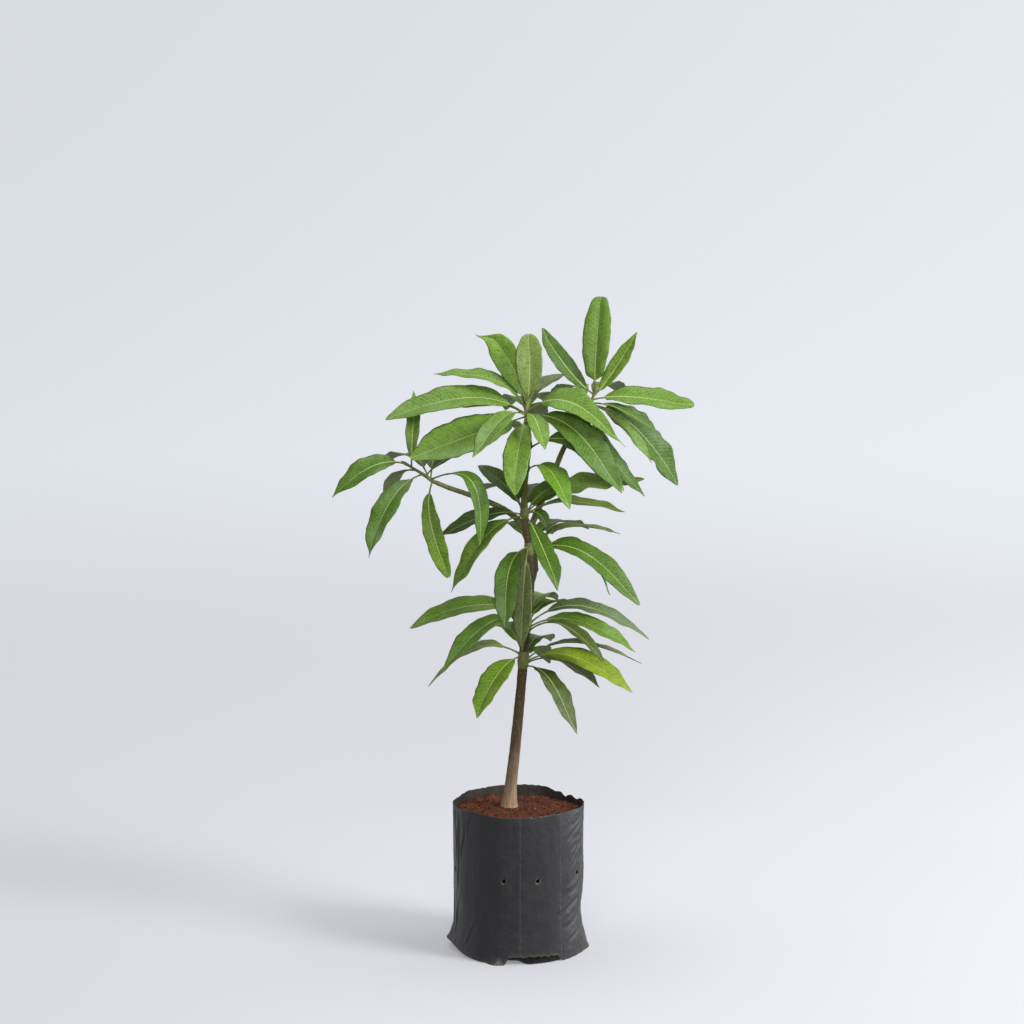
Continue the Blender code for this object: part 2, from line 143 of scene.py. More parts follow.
FORK_LEAVES = (
    Leaf(-85, -34, -92, 17, 0, 31, 24, "mid", "tailed"),
    Leaf(40, -84, -82, 4, 0, 28, 0, "shade"),
    Leaf(-103, -16, -27, 10, 0, 30, 28, "dark"),
    Leaf(119, -38, 6, 14, 0, 28, 14, "olive"),
    Leaf(24, -2, -22, 8, 0, 22, 30, "deep"),
    Leaf(148, 44, 34, 17, 0, 34, 32, "bright", "wavy"),
    Leaf(52, 2, 42, 6, 0, 26, 40, "deep"),
    Leaf(-55, 42, 52, 8, 0, 29, 20, "slate", "nicked"),
    Leaf(14, 66, 26, 8, 0, 28, 0, "grey"),
)
LEADER_LEAVES = (
    Leaf(50, -70, -42, 22, 0, 34, 5, "vivid"),
)
SHOULDER_LEAVES = (
    Leaf(115, -22, -52, 30, 11, 34, 44, "deep"),
    Leaf(-50, 62, 14, 12, 0, 30, 0, "grey"),
)
TOP_LEAVES = (
    Leaf(-17, -72, -90, 8, 0, 34, 0, "bright", "strap"),
    Leaf(-142, -44, -48, 1, 0, 54, 46, "mid", "strap"),
    Leaf(114, -66, -90, 26, 0, 40, 44, "deep"),
    Leaf(-78, 58, 6, 10, 0, 36, -20, "grey"),
    Leaf(-62, -108, -43, 18, 0, 34, 0, "mid"),
    Leaf(-174, -14, -5, 22, 0, 44, 36, "mid", "strap"),
    Leaf(22, -52, -40, 12, 0, 26, 0, "mid"),
    Leaf(118, -54, -40, 30, 0, 40, 40, "mid", "trailing"),
    Leaf(-116, 26, 42, 20, 0, 34, 18, "mid"),
    Leaf(52, 62, 38, 10, 0, 34, 0, "grey"),
    Leaf(-51, 48, 97, 9, 0, 34, 55, "bright", "hooked"),
    Leaf(2, 16, 87, 8, 4, 34, 0, "pale", "blunt"),
)
LEFT_LEAVES = (
    Leaf(22, -50, -114, -4, 10, 24, 30, "fresh", "split"),
    Leaf(62, -42, -77, 44, 0, 28, 12, "deep", "strap"),
    Leaf(75, 24, 34, 8, 0, 28, 10, "deep"),
    Leaf(-65, -85, -93, 14, 5, 36, 5, "deep", "tailed"),
    Leaf(-45, 34, -40, 14, 0, 30, 0, "mid"),
    Leaf(5, 32, 93, 6, 0, 18, 0, "mid"),
    Leaf(-92, -22, -38, 15, 0, 36, 34, "deep", "tailed"),
)
RIGHT_LEAVES = (
    Leaf(70, 24, -118, -11, 0, 32, 45, "shade"),
    Leaf(114, 46, -104, 16, 0, 46, 64, "shade", "wavy"),
    Leaf(74, -36, -70, 9, 0, 30, 5, "mid"),
    Leaf(82, -58, -34, 8, 0, 24, 5, "shade"),
    Leaf(125, -18, -8, 7, 0, 36, 38, "mid", "split"),
    Leaf(56, 22, 80, -3, 0, 21, 45, "fresh"),
    Leaf(-66, 26, 80, -5, 0, 24, 50, "shade", "strap"),
    Leaf(8, 28, 117, 5, 0, 35, 0, "mid", "paddle"),
)

# Whorls round the trunk, by the height of their lowest and highest feet, and whorls at a limb's tip
TRUNK_WHORLS = (
    (Whorl("leaves_lower", LOWER_LEAVES, 3), 0.362, 0.377),
    (Whorl("leaves_second", SECOND_LEAVES, 3), 0.407, 0.426),
    (Whorl("leaves_under_fork", UNDER_FORK_LEAVES, 3), 0.505, 0.514),
    (Whorl("leaves_fork", FORK_LEAVES, 2), 0.551, 0.559),
    (Whorl("leaf_leader", LEADER_LEAVES, 0), 0.609, 0.612),
    (Whorl("leaves_shoulder", SHOULDER_LEAVES, 0), 0.637, 0.645),
)
TOP_SHOOT = ((10, 0, 678), (10.5, 0, 690))
LEFT_SHOOT = ((-118, -8.5, 604), (-137, -11, 616))
RIGHT_SHOOT = ((91, 3, 693), (95, 1, 706))
TIP_WHORLS = (
    (Whorl("leaves_top", TOP_LEAVES, 3), TRUNK_ROUTE, TOP_SHOOT),
    (Whorl("leaves_left", LEFT_LEAVES, 2), LEFT_ROUTE, LEFT_SHOOT),
    (Whorl("leaves_right", RIGHT_LEAVES, 2), RIGHT_ROUTE, RIGHT_SHOOT),
)

# The rule every leaf grows by, as the solids have it
GUIDES = (0.28, 0.66)
EARLY_BEND = 0.35
PATH_STEPS = 48
STALK_SHARE = 0.13
STALK_RADIUS = 0.0012
BLADE_THICKNESS = 0.015
FOLD = 0.20
TIP_HALF_WIDTH = 0.0005
BLADE_STATIONS = (0.05, 0.14, 0.28, 0.44, 0.60, 0.74, 0.86, 0.95, 1.0)
COLLAR = 0.0021
COLLAR_MARGIN = 0.0032
BACK_SEED = 13
BACK_TRIES = 60
BACK_HEADINGS = (56, 124)
BACK_REACH = (88, 145)
BACK_DROP = (-28, 22)
BACK_WIDTHS = (28, 36)
BACK_ARCH = 20

# The tones that the added leaves take in turn, which are this script's own
BACK_TONES = ("mid", "deep", "bright", "mid", "olive")

# The colour of each leaf face, as red, green and blue from 0 to 255. Leaves take lighter or darker tones by
# how lit they look, so the tones partly hold painted light and shade, and "shade" is painted shade
TONES = {
    "pale": (120, 148, 74),
    "bright": (114, 154, 54),
    "mid": (98, 136, 44),
    "deep": (78, 116, 30),
    "shade": (68, 104, 20),
    "dark": (64, 90, 40),
    "moss": (68, 86, 22),
    "slate": (88, 112, 68),
    "olive": (92, 114, 42),
    "grey": (106, 122, 76),
    "young": (127, 155, 38),
    "fresh": (95, 132, 20),
    "vivid": (90, 134, 15),
}
# How far each tone's side veins stand out
VEIN_CONTRAST = {
    "deep": 0.24, "dark": 0.16, "shade": 0.20, "moss": 0.20,
    "olive": 0.22, "vivid": 0.26, "slate": 0.24, "grey": 0.26,
}
COMMON_CONTRAST = 0.42


def from_srgb(red, green, blue):
    """A linear colour from one on the 0 to 255 scale of a screen."""
    shares = [c / 255 for c in (red, green, blue)]
    return tuple(c / 12.92 if c <= 0.04045 else ((c + 0.055) / 1.055) ** 2.4 for c in shares)


def shaded(colour, factor):
    return (*(min(1.0, c * factor) for c in colour[:3]), 1.0)


def blended(first, second, share):
    return (*(a + (b - a) * share for a, b in zip(first[:3], second[:3])), 1.0)


def size_field(name, description, default, low, high, precision):
    return FloatProperty(
        name=name, description=description, default=default, min=low, max=high,
        unit="LENGTH", precision=precision,
    )


def colour_field(name, description, *screen):
    return FloatVectorProperty(
        name=name, description=description, default=from_srgb(*screen),
        size=3, subtype="COLOR", min=0, max=1,
    )


class SaplingSizes(bpy.types.PropertyGroup):
    """Sizes of what is finer than the solids."""

    blade_thickness: size_field(
        "Blade thickness", "Thickness of a leaf between its veins", 0.00045, 0.0002, 0.002, 5,
    )
    vein_pitch: size_field(
        "Vein pitch", "Distance between side veins along the midrib", 0.0056, 0.003, 0.02, 4,
    )
    vein_width: size_field("Vein width", "Width of a side vein", 0.00042, 0.0001, 0.001, 5)
    rib_width: size_field(
        "Midrib width", "Width of the midrib at the blade's foot", 0.0014, 0.0005, 0.004, 4,
    )
    quilting: size_field("Quilting", "How far the blade swells between two veins", 0.00016, 0.0, 0.001, 5)
    wave_height: size_field(
        "Wave height", "How far a leaf's margins wave up and down", 0.0010, 0.0, 0.006, 4,
    )
    wave_length: size_field("Wave length", "Length of one wave of the margin", 0.046, 0.01, 0.1, 4)
    bark_relief: size_field(
        "Bark relief", "Depth of the furrows in the bark of the lower trunk", 0.0007, 0.0, 0.003, 5,
    )
    film_thickness: size_field("Film thickness", "Thickness of the bag's film", 0.0005, 0.0001, 0.0014, 5)
    wrinkle_depth: size_field(
        "Wrinkle depth", "Depth of the folds in the bag's film", 0.0010, 0.0, 0.003, 4,
    )
    grain_size: size_field("Grain size", "Radius of the common grains of soil", 0.00065, 0.0003, 0.003, 5)
    seed: IntProperty(
        name="Seed", description="Start of every random choice that isn't the solids' own", default=4, min=0,
    )


class SaplingColours(bpy.types.PropertyGroup):
    """Base colours of the finishes."""

    vein: colour_field("Midrib", "Pale colour of midribs and side veins", 176, 190, 116)
    underside: colour_field("Leaf underside", "Grey-green of the lower face of every leaf", 142, 158, 112)
    stalk: colour_field("Stalk", "Colour of leaf stalks and young shoots", 124, 130, 68)
    bark: colour_field("Bark", "Main colour of the trunk's bark", 98, 84, 62)
    film: colour_field("Film", "Colour of the bag's film", 54, 55, 59)
    dust: colour_field("Dust", "Colour of the soil dust on the bag", 120, 107, 86)
    soil: colour_field("Soil", "Main colour of the potting soil", 100, 55, 37)
    studio: colour_field("Studio", "Colour of the floor and backdrop", 224, 225, 231)


def add(tree, kind, inputs=None, **settings):
    """Adds a node with its settings, and links or sets its inputs, which are named or numbered."""
    made = tree.nodes.new(kind)
    for key, value in settings.items():
        setattr(made, key, value)
    for key, value in (inputs or {}).items():
        if isinstance(value, bpy.types.NodeSocket):
            tree.links.new(value, made.inputs[key])
        else:
            made.inputs[key].default_value = value
    return made


def new_material(name, roughness, specular=0.5):
    made = bpy.data.materials.new(name)
    made.use_nodes = True
    shader = made.node_tree.nodes["Principled BSDF"]
    shader.inputs["Roughness"].default_value = roughness
    shader.inputs["Specular IOR Level"].default_value = specular
    return made, made.node_tree, shader


def object_place(tree, stretch=(1, 1, 1)):
    place = add(tree, "ShaderNodeTexCoord").outputs["Object"]
    return add(tree, "ShaderNodeMapping", {"Vector": place, "Scale": stretch}).outputs["Vector"]


def mottle(tree, place, scale, detail=4.0, roughness=0.55):
    inputs = {"Vector": place, "Scale": scale, "Detail": detail, "Roughness": roughness}
    return add(tree, "ShaderNodeTexNoise", inputs).outputs["Fac"]


def spread(tree, value, low, high, to_low=0.0, to_high=1.0):
    inputs = {0: value, 1: low, 2: high, 3: to_low, 4: to_high}
    return add(tree, "ShaderNodeMapRange", inputs).outputs[0]


def multiplied(tree, value, factor, more=0.0):
    """The product of the first two values plus the third, kept between 0 and 1."""
    inputs = {0: value, 1: factor, 2: more}
    return add(tree, "ShaderNodeMath", inputs, operation="MULTIPLY_ADD", use_clamp=True).outputs[0]


def mixed(tree, factor, first, second):
    return add(tree, "ShaderNodeMix", {0: factor, 6: first, 7: second}, data_type="RGBA").outputs[2]


def bumped(tree, shader, height, distance, strength=1.0):
    made = add(tree, "ShaderNodeBump", {"Height": height, "Distance": distance, "Strength": strength})
    tree.links.new(made.outputs["Normal"], shader.inputs["Normal"])


def colours():
    return bpy.context.scene.sapling_colours


def sizes():
    return bpy.context.scene.sapling_sizes


def leaf_material(name, colour, roughness, contrast=0.20):
    """A satin leaf face: its green drifts, is finely speckled and netted, and has pale patches of painted
    sheen in places.
    """
    made, tree, shader = new_material(name, roughness, 0.32)
    place = object_place(tree)
    broad = spread(tree, mottle(tree, place, 42, 3.0), 0.34, 0.66)
    drift = mixed(tree, broad, shaded(colour, 1 - contrast), shaded(colour, 1 + contrast))
    blotches = spread(tree, mottle(tree, place, 190, 5.0, 0.75), 0.44, 0.62, 0.0, 0.95)
    darker = shaded((colour[0] * 0.9, colour[1], colour[2]), 1 - 2.4 * contrast)
    blotched = mixed(tree, blotches, drift, darker)
    fine = spread(tree, mottle(tree, place, 430, 4.0, 0.75), 0.46, 0.64, 0.0, 0.90)
    yellower = shaded((colour[0] * 1.5, colour[1] * 1.34, colour[2] * 1.1), 1.0)
    speckled = mixed(tree, fine, blotched, yellower)
    cells = {"Vector": place, "Scale": 520.0}
    net = add(tree, "ShaderNodeTexVoronoi", cells, feature="DISTANCE_TO_EDGE").outputs["Distance"]
    netted = mixed(tree, spread(tree, net, 0.02, 0.12, 0.34, 0.0), speckled, yellower)
    # Pale patches painted into the colour as sheen, where the cuticle would reflect the bright studio
    painted_sheen = spread(tree, mottle(tree, place, 21, 4.0, 0.6), 0.50, 0.72, 0.0, 0.13)
    tree.links.new(mixed(tree, painted_sheen, netted, (0.40, 0.49, 0.40, 1)), shader.inputs["Base Color"])
    gloss = spread(tree, mottle(tree, place, 95, 4.0), 0.3, 0.7, roughness - 0.10, roughness + 0.10)
    tree.links.new(gloss, shader.inputs["Roughness"])
    bumped(tree, shader, mottle(tree, place, 420, 5.0, 0.7), 0.00055, 0.9)
    return made


def plain_material(name, colour, roughness):
    made, _, shader = new_material(name, roughness)
    shader.inputs["Base Color"].default_value = shaded(colour, 1.0)
    return made


def leaf_finishes():
    """The materials of every leaf, by name: a face and a vein for each tone, and what all leaves share."""
    pale = tuple(colours().vein)
    found = {}
    for tone, screen in TONES.items():
        colour = from_srgb(*screen)
        found[tone] = leaf_material("leaf_" + tone, colour, 0.44)
        contrast = VEIN_CONTRAST.get(tone, COMMON_CONTRAST)
        found[tone + "_vein"] = plain_material(f"vein_{tone}", blended(colour, pale, contrast), 0.5)
    found["rib"] = plain_material("midrib", pale, 0.5)
    found["under"] = leaf_material("leaf_underside", tuple(colours().underside), 0.6, 0.10)
    found["under_vein"] = plain_material("underside_vein", blended(colours().underside, pale, 0.35), 0.6)
    found["dry"] = leaf_material("dry_tip", from_srgb(116, 92, 52), 0.75)
    return found


def bark_material(name, lower, middle, upper, roughness=0.82):
    """Bark that turns from pale at the root flare through brown to green above the fork."""
    made, tree, shader = new_material(name, roughness, 0.3)
    place = object_place(tree)
    height = add(tree, "ShaderNodeSeparateXYZ", {"Vector": place}).outputs["Z"]
    drift = {0: mottle(tree, place, 26, 5.0), 1: 0.09, 2: height}
    uneven = add(tree, "ShaderNodeMath", drift, operation="MULTIPLY_ADD").outputs[0]
    body = mixed(tree, spread(tree, uneven, 0.235, 0.31), lower, middle)
    green = mixed(tree, spread(tree, uneven, 0.57, 0.62), body, upper)
    streaks = spread(tree, mottle(tree, object_place(tree, (420, 420, 46)), 1.0, 6.0, 0.65), 0.38, 0.66)
    worn = mixed(tree, streaks, mixed(tree, 0.5, shaded(middle, 0.4), green), green)
    specks = spread(tree, mottle(tree, place, 700, 2.0), 0.60, 0.68, 0.0, 0.55)
    tree.links.new(mixed(tree, specks, worn, shaded(lower, 1.1)), shader.inputs["Base Color"])
    bumped(tree, shader, mottle(tree, object_place(tree, (900, 900, 220)), 1.0, 6.0, 0.7), 0.0005)
    return made


def stalk_material(name, colour):
    made, tree, shader = new_material(name, 0.5)
    place = object_place(tree)
    tint = spread(tree, mottle(tree, place, 140, 4.0), 0.32, 0.68)
    tree.links.new(mixed(tree, tint, shaded(colour, 0.74), shaded(colour, 1.25)), shader.inputs["Base Color"])
    bumped(tree, shader, mottle(tree, place, 1500, 3.0), 0.0002)
    return made


# Headings in degrees of the straight creases that the bag was folded flat along, each painted as a lighter
# line of highlight
FOLDED_FLAT = (-88.2, -49, 50, 91)
# Half the width of such a crease, as a share of the way round
CREASE_SHARE = 0.0009


def film_material(name, colour, smeared):
    """Black polythene, satin and dusty: dust lies where the mesh says, and is smeared all over the inside."""
    made, tree, shader = new_material(name, 0.34, 0.62)
    place = object_place(tree)
    dust = shaded(colours().dust, 1.0)
    laid = add(tree, "ShaderNodeAttribute", attribute_name="dust").outputs["Fac"]
    patchy = spread(tree, mottle(tree, place, 210, 6.0, 0.7), 0.35, 0.7, 0.25, 1.0)
    haze = spread(tree, mottle(tree, place, 38, 5.0, 0.6), 0.4, 0.8, smeared, smeared * 2 + 0.03)
    where = multiplied(tree, laid, patchy, haze)
    heading = add(tree, "ShaderNodeTexGradient", {"Vector": place}, gradient_type="RADIAL").outputs["Fac"]
    # The lighter lines along the creases are painted highlight, where each crease catches the light
    worn = 0.0
    for crease in FOLDED_FLAT:
        near = {0: heading, 1: crease / 360 + 0.5, 2: CREASE_SHARE}
        worn = multiplied(tree, add(tree, "ShaderNodeMath", near, operation="COMPARE").outputs[0], 1.0, worn)
    film = mixed(tree, worn, shaded(colour, 1.0), shaded(colour, 2.1))
    tree.links.new(mixed(tree, where, film, dust), shader.inputs["Base Color"])
    gloss = spread(tree, mottle(tree, place, 60, 5.0), 0.3, 0.7, 0.27, 0.42)
    tree.links.new(multiplied(tree, where, 0.5, gloss), shader.inputs["Roughness"])
    bumped(tree, shader, mottle(tree, place, 110, 6.0, 0.55), 0.0016, 0.6)
    return made


def soil_material(name, colour, contrast=0.45):
    made, tree, shader = new_material(name, 0.92, 0.25)
    place = object_place(tree)
    coarse = spread(tree, mottle(tree, place, 130, 6.0, 0.65), 0.3, 0.72)
    base = mixed(tree, coarse, shaded(colour, 1 - contrast), shaded(colour, 1 + contrast))
    specks = spread(tree, mottle(tree, place, 1500, 2.0), 0.66, 0.72, 0.0, 0.7)
    sand = shaded(blended(colour, (0.5, 0.38, 0.3), 0.4), 1.0)
    tree.links.new(mixed(tree, specks, base, sand), shader.inputs["Base Color"])
    bumped(tree, shader, mottle(tree, place, 1100, 5.0, 0.7), 0.0008)
    return made


def new_tree(name, inputs):
    """A Geometry Nodes tree with the named inputs, as (tree, input node, identifiers by name)."""
    tree = bpy.data.node_groups.new(name, "GeometryNodeTree")
    tree.interface.new_socket("Geometry", in_out="INPUT", socket_type="NodeSocketGeometry")
    tree.interface.new_socket("Geometry", in_out="OUTPUT", socket_type="NodeSocketGeometry")
    identifiers = {}
    for label, kind in inputs.items():
        identifiers[label] = tree.interface.new_socket(label, in_out="INPUT", socket_type=kind).identifier
    return tree, tree.nodes.new("NodeGroupInput"), identifiers


def grown(name, source, recipe, values):
    """The plain mesh that a Geometry Nodes tree makes of a curve or mesh, which is used up."""
    tree, _, identifiers = recipe
    modifier = source.modifiers.new(tree.name, "NODES")
    for label, value in values.items():
        if label not in identifiers:
            raise RuntimeError(f"{tree.name} has no input named {label}")
    modifier.node_group = tree
    for label, value in values.items():
        modifier[identifiers[label]] = value
    graph = bpy.context.evaluated_depsgraph_get()
    mesh = bpy.data.meshes.new_from_object(source.evaluated_get(graph))
    if not mesh.polygons:
        raise RuntimeError(f"{tree.name} made no faces for {name}")
    source.modifiers.clear()
    bpy.data.objects.remove(source, do_unlink=True)
    return linked(name, mesh)


def linked(name, data):
    data.name = name
    obj = bpy.data.objects.new(name, data)
    bpy.context.scene.collection.objects.link(obj)
    return obj


def line_curve(name, lines):
    """A curve object of one poly spline for each list of (place, radius)."""
    curve = bpy.data.curves.new(name, "CURVE")
    curve.dimensions = "3D"
    for line in lines:
        spline = curve.splines.new("POLY")
        spline.points.add(len(line) - 1)
        for point, (place, radius) in zip(spline.points, line):
            point.co = (*place, 1)
            point.radius = radius
    return linked(name, curve)


def limb_recipe():
    """Geometry Nodes that sweep a round limb along a line and press furrows and ripples into its bark."""
    recipe = new_tree("Swept limb", {
        "Sides": "NodeSocketInt", "Ring pitch": "NodeSocketFloat", "Relief": "NodeSocketFloat",
        "Grain": "NodeSocketVector", "Finish": "NodeSocketMaterial",
    })
    tree, given, _ = recipe
    given = given.outputs
    spaced = {"Curve": given["Geometry"], "Length": given["Ring pitch"]}
    line = add(tree, "GeometryNodeResampleCurve", spaced, mode="LENGTH")
    ring = add(tree, "GeometryNodeCurvePrimitiveCircle", {"Resolution": given["Sides"], "Radius": 1.0})
    radius = add(tree, "GeometryNodeInputRadius").outputs[0]
    swept = add(tree, "GeometryNodeCurveToMesh", {
        "Curve": line.outputs[0], "Profile Curve": ring.outputs[0], "Scale": radius, "Fill Caps": True,
    })
    place = add(tree, "GeometryNodeInputPosition").outputs[0]
    grain = add(tree, "ShaderNodeVectorMath", {0: place, 1: given["Grain"]}, operation="MULTIPLY").outputs[0]
    furrows = {"Vector": grain, "Scale": 1.0, "Detail": 5.0, "Roughness": 0.6}
    finish_tree(tree, roughened(tree, swept.outputs[0], furrows, given["Relief"]), given["Finish"])
    return recipe


def roughened(tree, geometry, pattern, depth):
    """Geometry moved in and out along its normals by noise with the given inputs."""
    rough = add(tree, "ShaderNodeTexNoise", pattern).outputs["Fac"]
    centred = add(tree, "ShaderNodeMath", {0: rough, 1: 0.5}, operation="SUBTRACT").outputs[0]
    scaled = add(tree, "ShaderNodeMath", {0: centred, 1: depth}, operation="MULTIPLY").outputs[0]
    normal = add(tree, "GeometryNodeInputNormal").outputs[0]
    offset = add(tree, "ShaderNodeVectorMath", {0: normal, "Scale": scaled}, operation="SCALE").outputs[0]
    return add(tree, "GeometryNodeSetPosition", {"Geometry": geometry, "Offset": offset}).outputs[0]


def finish_tree(tree, geometry, material):
    """Ends a tree in smooth shading, Realize Instances and Set Material."""
    smooth = add(tree, "GeometryNodeSetShadeSmooth", {"Geometry": geometry}).outputs[0]
    real = add(tree, "GeometryNodeRealizeInstances", {"Geometry": smooth}).outputs[0]
    dressed = add(tree, "GeometryNodeSetMaterial", {"Geometry": real, "Material": material}).outputs[0]
    add(tree, "NodeGroupOutput", {0: dressed})


def grain_recipe():
    """Geometry Nodes that scatter rough lumps over a surface, half sunk in it."""
    recipe = new_tree("Scattered lumps", {
        "Density": "NodeSocketFloat", "Spacing": "NodeSocketFloat", "Radius": "NodeSocketFloat",
        "Smallest": "NodeSocketFloat", "Largest": "NodeSocketFloat", "Fineness": "NodeSocketInt",
        "Roughness": "NodeSocketFloat", "Seed": "NodeSocketInt", "Finish": "NodeSocketMaterial",
    })
    tree, given, _ = recipe
    given = given.outputs
    points = add(tree, "GeometryNodeDistributePointsOnFaces", {
        "Mesh": given["Geometry"], "Distance Min": given["Spacing"], "Density Max": given["Density"],
        "Seed": given["Seed"],
    }, distribute_method="POISSON")
    round_lump = {"Radius": given["Radius"], "Subdivisions": given["Fineness"]}
    lump = add(tree, "GeometryNodeMeshIcoSphere", round_lump)
    any_way = {0: (0, 0, 0), 1: (TAU, TAU, TAU), "Seed": given["Seed"]}
    turn = add(tree, "FunctionNodeRandomValue", any_way, data_type="FLOAT_VECTOR")
    scales = {2: given["Smallest"], 3: given["Largest"], "Seed": given["Seed"]}
    size = add(tree, "FunctionNodeRandomValue", scales)
    strewn = add(tree, "GeometryNodeInstanceOnPoints", {
        "Points": points.outputs[0], "Instance": lump.outputs[0],
        "Rotation": turn.outputs[0], "Scale": size.outputs[1],
    })
    real = add(tree, "GeometryNodeRealizeInstances", {"Geometry": strewn.outputs[0]}).outputs[0]
    place = add(tree, "GeometryNodeInputPosition").outputs[0]
    pits = {"Vector": place, "Scale": 520.0, "Detail": 3.0}
    finish_tree(tree, roughened(tree, real, pits, given["Roughness"]), given["Finish"])
    return recipe


def in_metres(points):
    return [Vector(p) * MM for p in points]


def smooth_route(points):
    """Points on a smooth curve through the given ones, with STEPS_A_SPAN steps between two of them."""
    ends = [points[0] * 2 - points[1], *points, points[-1] * 2 - points[-2]]
    route = []
    for a, b, c, d in zip(ends, ends[1:], ends[2:], ends[3:]):
        span = interpolate_bezier(b, b + (c - a) / 6, c - (d - b) / 6, c, STEPS_A_SPAN + 1)
        route.extend(span[:-1])
    route.append(points[-1])
    return route


def tapering(route, radii):
    """A radius for each point of the route, falling evenly with the length run."""
    run = [0.0]
    for a, b in zip(route, route[1:]):
        run.append(run[-1] + (b - a).length)
    return [radii[0] + (radii[1] - radii[0]) * r / run[-1] for r in run]


def trunk_line():
    route = smooth_route(in_metres(TRUNK_ROUTE))
    foot = route[0].z
    radii = tapering(route, TRUNK_RADII)
    return route, [r + ROOT_FLARE * math.exp(-(p.z - foot) / FLARE_HEIGHT) for r, p in zip(radii, route)]


def trunk_point(route, height):
    """The place on the trunk's middle line at that height, and how far along the route it is."""
    for k, (a, b) in enumerate(zip(route, route[1:])):
        if a.z <= height <= b.z:
            return a.lerp(b, (height - a.z) / (b.z - a.z)), k
    return route[-1], len(route) - 1


def trunk_foot(trunk, low, high):
    """Finds the foot of a leaf on the side of the trunk that the leaf heads for."""
    def foot_of(leaf, share):
        route, radii = trunk
        place, at = trunk_point(route, low + (high - low) * share)
        return place + Vector((leaf.across, leaf.back, 0)).normalized() * radii[at]
    return foot_of


def shoot_route(limb_mm, beyond_mm):
    """The shoot's middle line, which starts just clear of its limb's tip and leaves it straight on."""
    limb = smooth_route(in_metres(limb_mm))
    ahead = (limb[-1] - limb[-2]).normalized()
    start = limb[-1] + ahead * GAP
    return smooth_route([start, start + ahead * SHOOT_LEAD, *in_metres(beyond_mm)])


def shoot_foot(route):
    """Finds the foot of a leaf on a shoot's middle line, above its lowest part."""
    places = route[STEPS_A_SPAN:]
    return lambda leaf, share: places[round(share * (len(places) - 1))]


def leaf_guides(leaf, foot):
    """The four points of the midrib's curve, and the level direction to the leaf's right."""
    chord = Vector((leaf.across, leaf.back, leaf.up)) * MM
    right = Vector((chord.y, -chord.x, 0)).normalized()
    over = right.cross(chord).normalized()
    bend = (over * leaf.arch + right * leaf.sway) * MM * 4 / 3
    first = foot + chord * GUIDES[0] + bend * (1 + EARLY_BEND)
    second = foot + chord * GUIDES[1] + bend * (1 - EARLY_BEND)
    return (foot, first, second, foot + chord), right


def along_midrib(leaf, foot, shares):
    """Places, sides and normals of the midrib at each share of its length, as arrays."""
    points, right = leaf_guides(leaf, foot)
    a, b, c, d = (np.array(p) for p in points)
    t = np.asarray(shares, float)[..., None]
    place = a * (1 - t) ** 3 + 3 * b * t * (1 - t) ** 2 + 3 * c * t**2 * (1 - t) + d * t**3
    ahead = 3 * ((b - a) * (1 - t) ** 2 + 2 * (c - b) * t * (1 - t) + (d - c) * t**2)
    ahead /= np.linalg.norm(ahead, axis=-1, keepdims=True)
    level = np.array(right) - ahead * (ahead @ np.array(right))[..., None]
    level /= np.linalg.norm(level, axis=-1, keepdims=True)
    turn = math.copysign(math.radians(leaf.roll), leaf.across * leaf.roll)
    side = level * math.cos(turn) - np.cross(level, ahead) * math.sin(turn)
    return place, side, np.cross(side, ahead)


def leaf_length(leaf, foot):
    place, _, _ = along_midrib(leaf, foot, np.linspace(0, 1, PATH_STEPS + 1))
    return float(np.linalg.norm(np.diff(place, axis=0), axis=1).sum())


def band(first, second, around, flipped=False):
    """Quads between two rings of points, from the numbers of their first points."""
    ways = [(k, (k + 1) % around) for k in range(around)]
    quads = [(first + a, first + b, second + b, second + a) for a, b in ways]
    return [(a, d, c, b) for a, b, c, d in quads] if flipped else quads


def polar(angle, radius, z):
    return Vector((radius * math.cos(angle), radius * math.sin(angle), z))


def coarse_blade(leaf, foot):
    """The faces of the solid's own blade, for finding what it touches."""
    thickness = leaf_length(leaf, foot) * BLADE_THICKNESS
    u = np.array([0.0, *BLADE_STATIONS])
    shares = np.round((STALK_SHARE + (1 - STALK_SHARE) * u) * PATH_STEPS) / PATH_STEPS
    place, side, normal = along_midrib(leaf, foot, shares)
    rings = []
    for k, share in enumerate(u):
        wave = math.sin(math.pi * share**0.9) ** 0.65 if 0 < share < 1 else 0.0
        half = max(leaf.width * MM / 2 * wave, STALK_RADIUS if share <= 0 else TIP_HALF_WIDTH)
        blade = min(1, max(0, (half - STALK_RADIUS) / STALK_RADIUS))
        thick = STALK_RADIUS if share <= 0 else thickness / 2
        thick = min(thick, half) if share > 0.5 else thick
        edge = place[k] + normal[k] * FOLD * half * blade
        top, back = place[k] + normal[k] * thick, place[k] - normal[k] * thick
        rings.append([edge - side[k] * half, top, edge + side[k] * half, back])
    corners = len(rings[0])
    faces = [quad for r in range(len(rings) - 1) for quad in band(r * corners, (r + 1) * corners, corners)]
    return BVHTree.FromPolygons([Vector(p) for ring in rings for p in ring], faces)


def solid_tree(name):
    """The faces of one of the solids, for finding what touches it."""
    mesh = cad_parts[name].data
    return BVHTree.FromPolygons([v.co for v in mesh.vertices], [tuple(p.vertices) for p in mesh.polygons])


def back_leaf(draw):
    """A leaf that faces away from the front."""
    heading = math.radians(draw.uniform(*BACK_HEADINGS))
    reach = draw.uniform(*BACK_REACH)
    up = draw.uniform(*BACK_DROP)
    width = draw.uniform(*BACK_WIDTHS)
    return Leaf(reach * math.cos(heading), reach * math.sin(heading), up, BACK_ARCH, 0, width, 0)


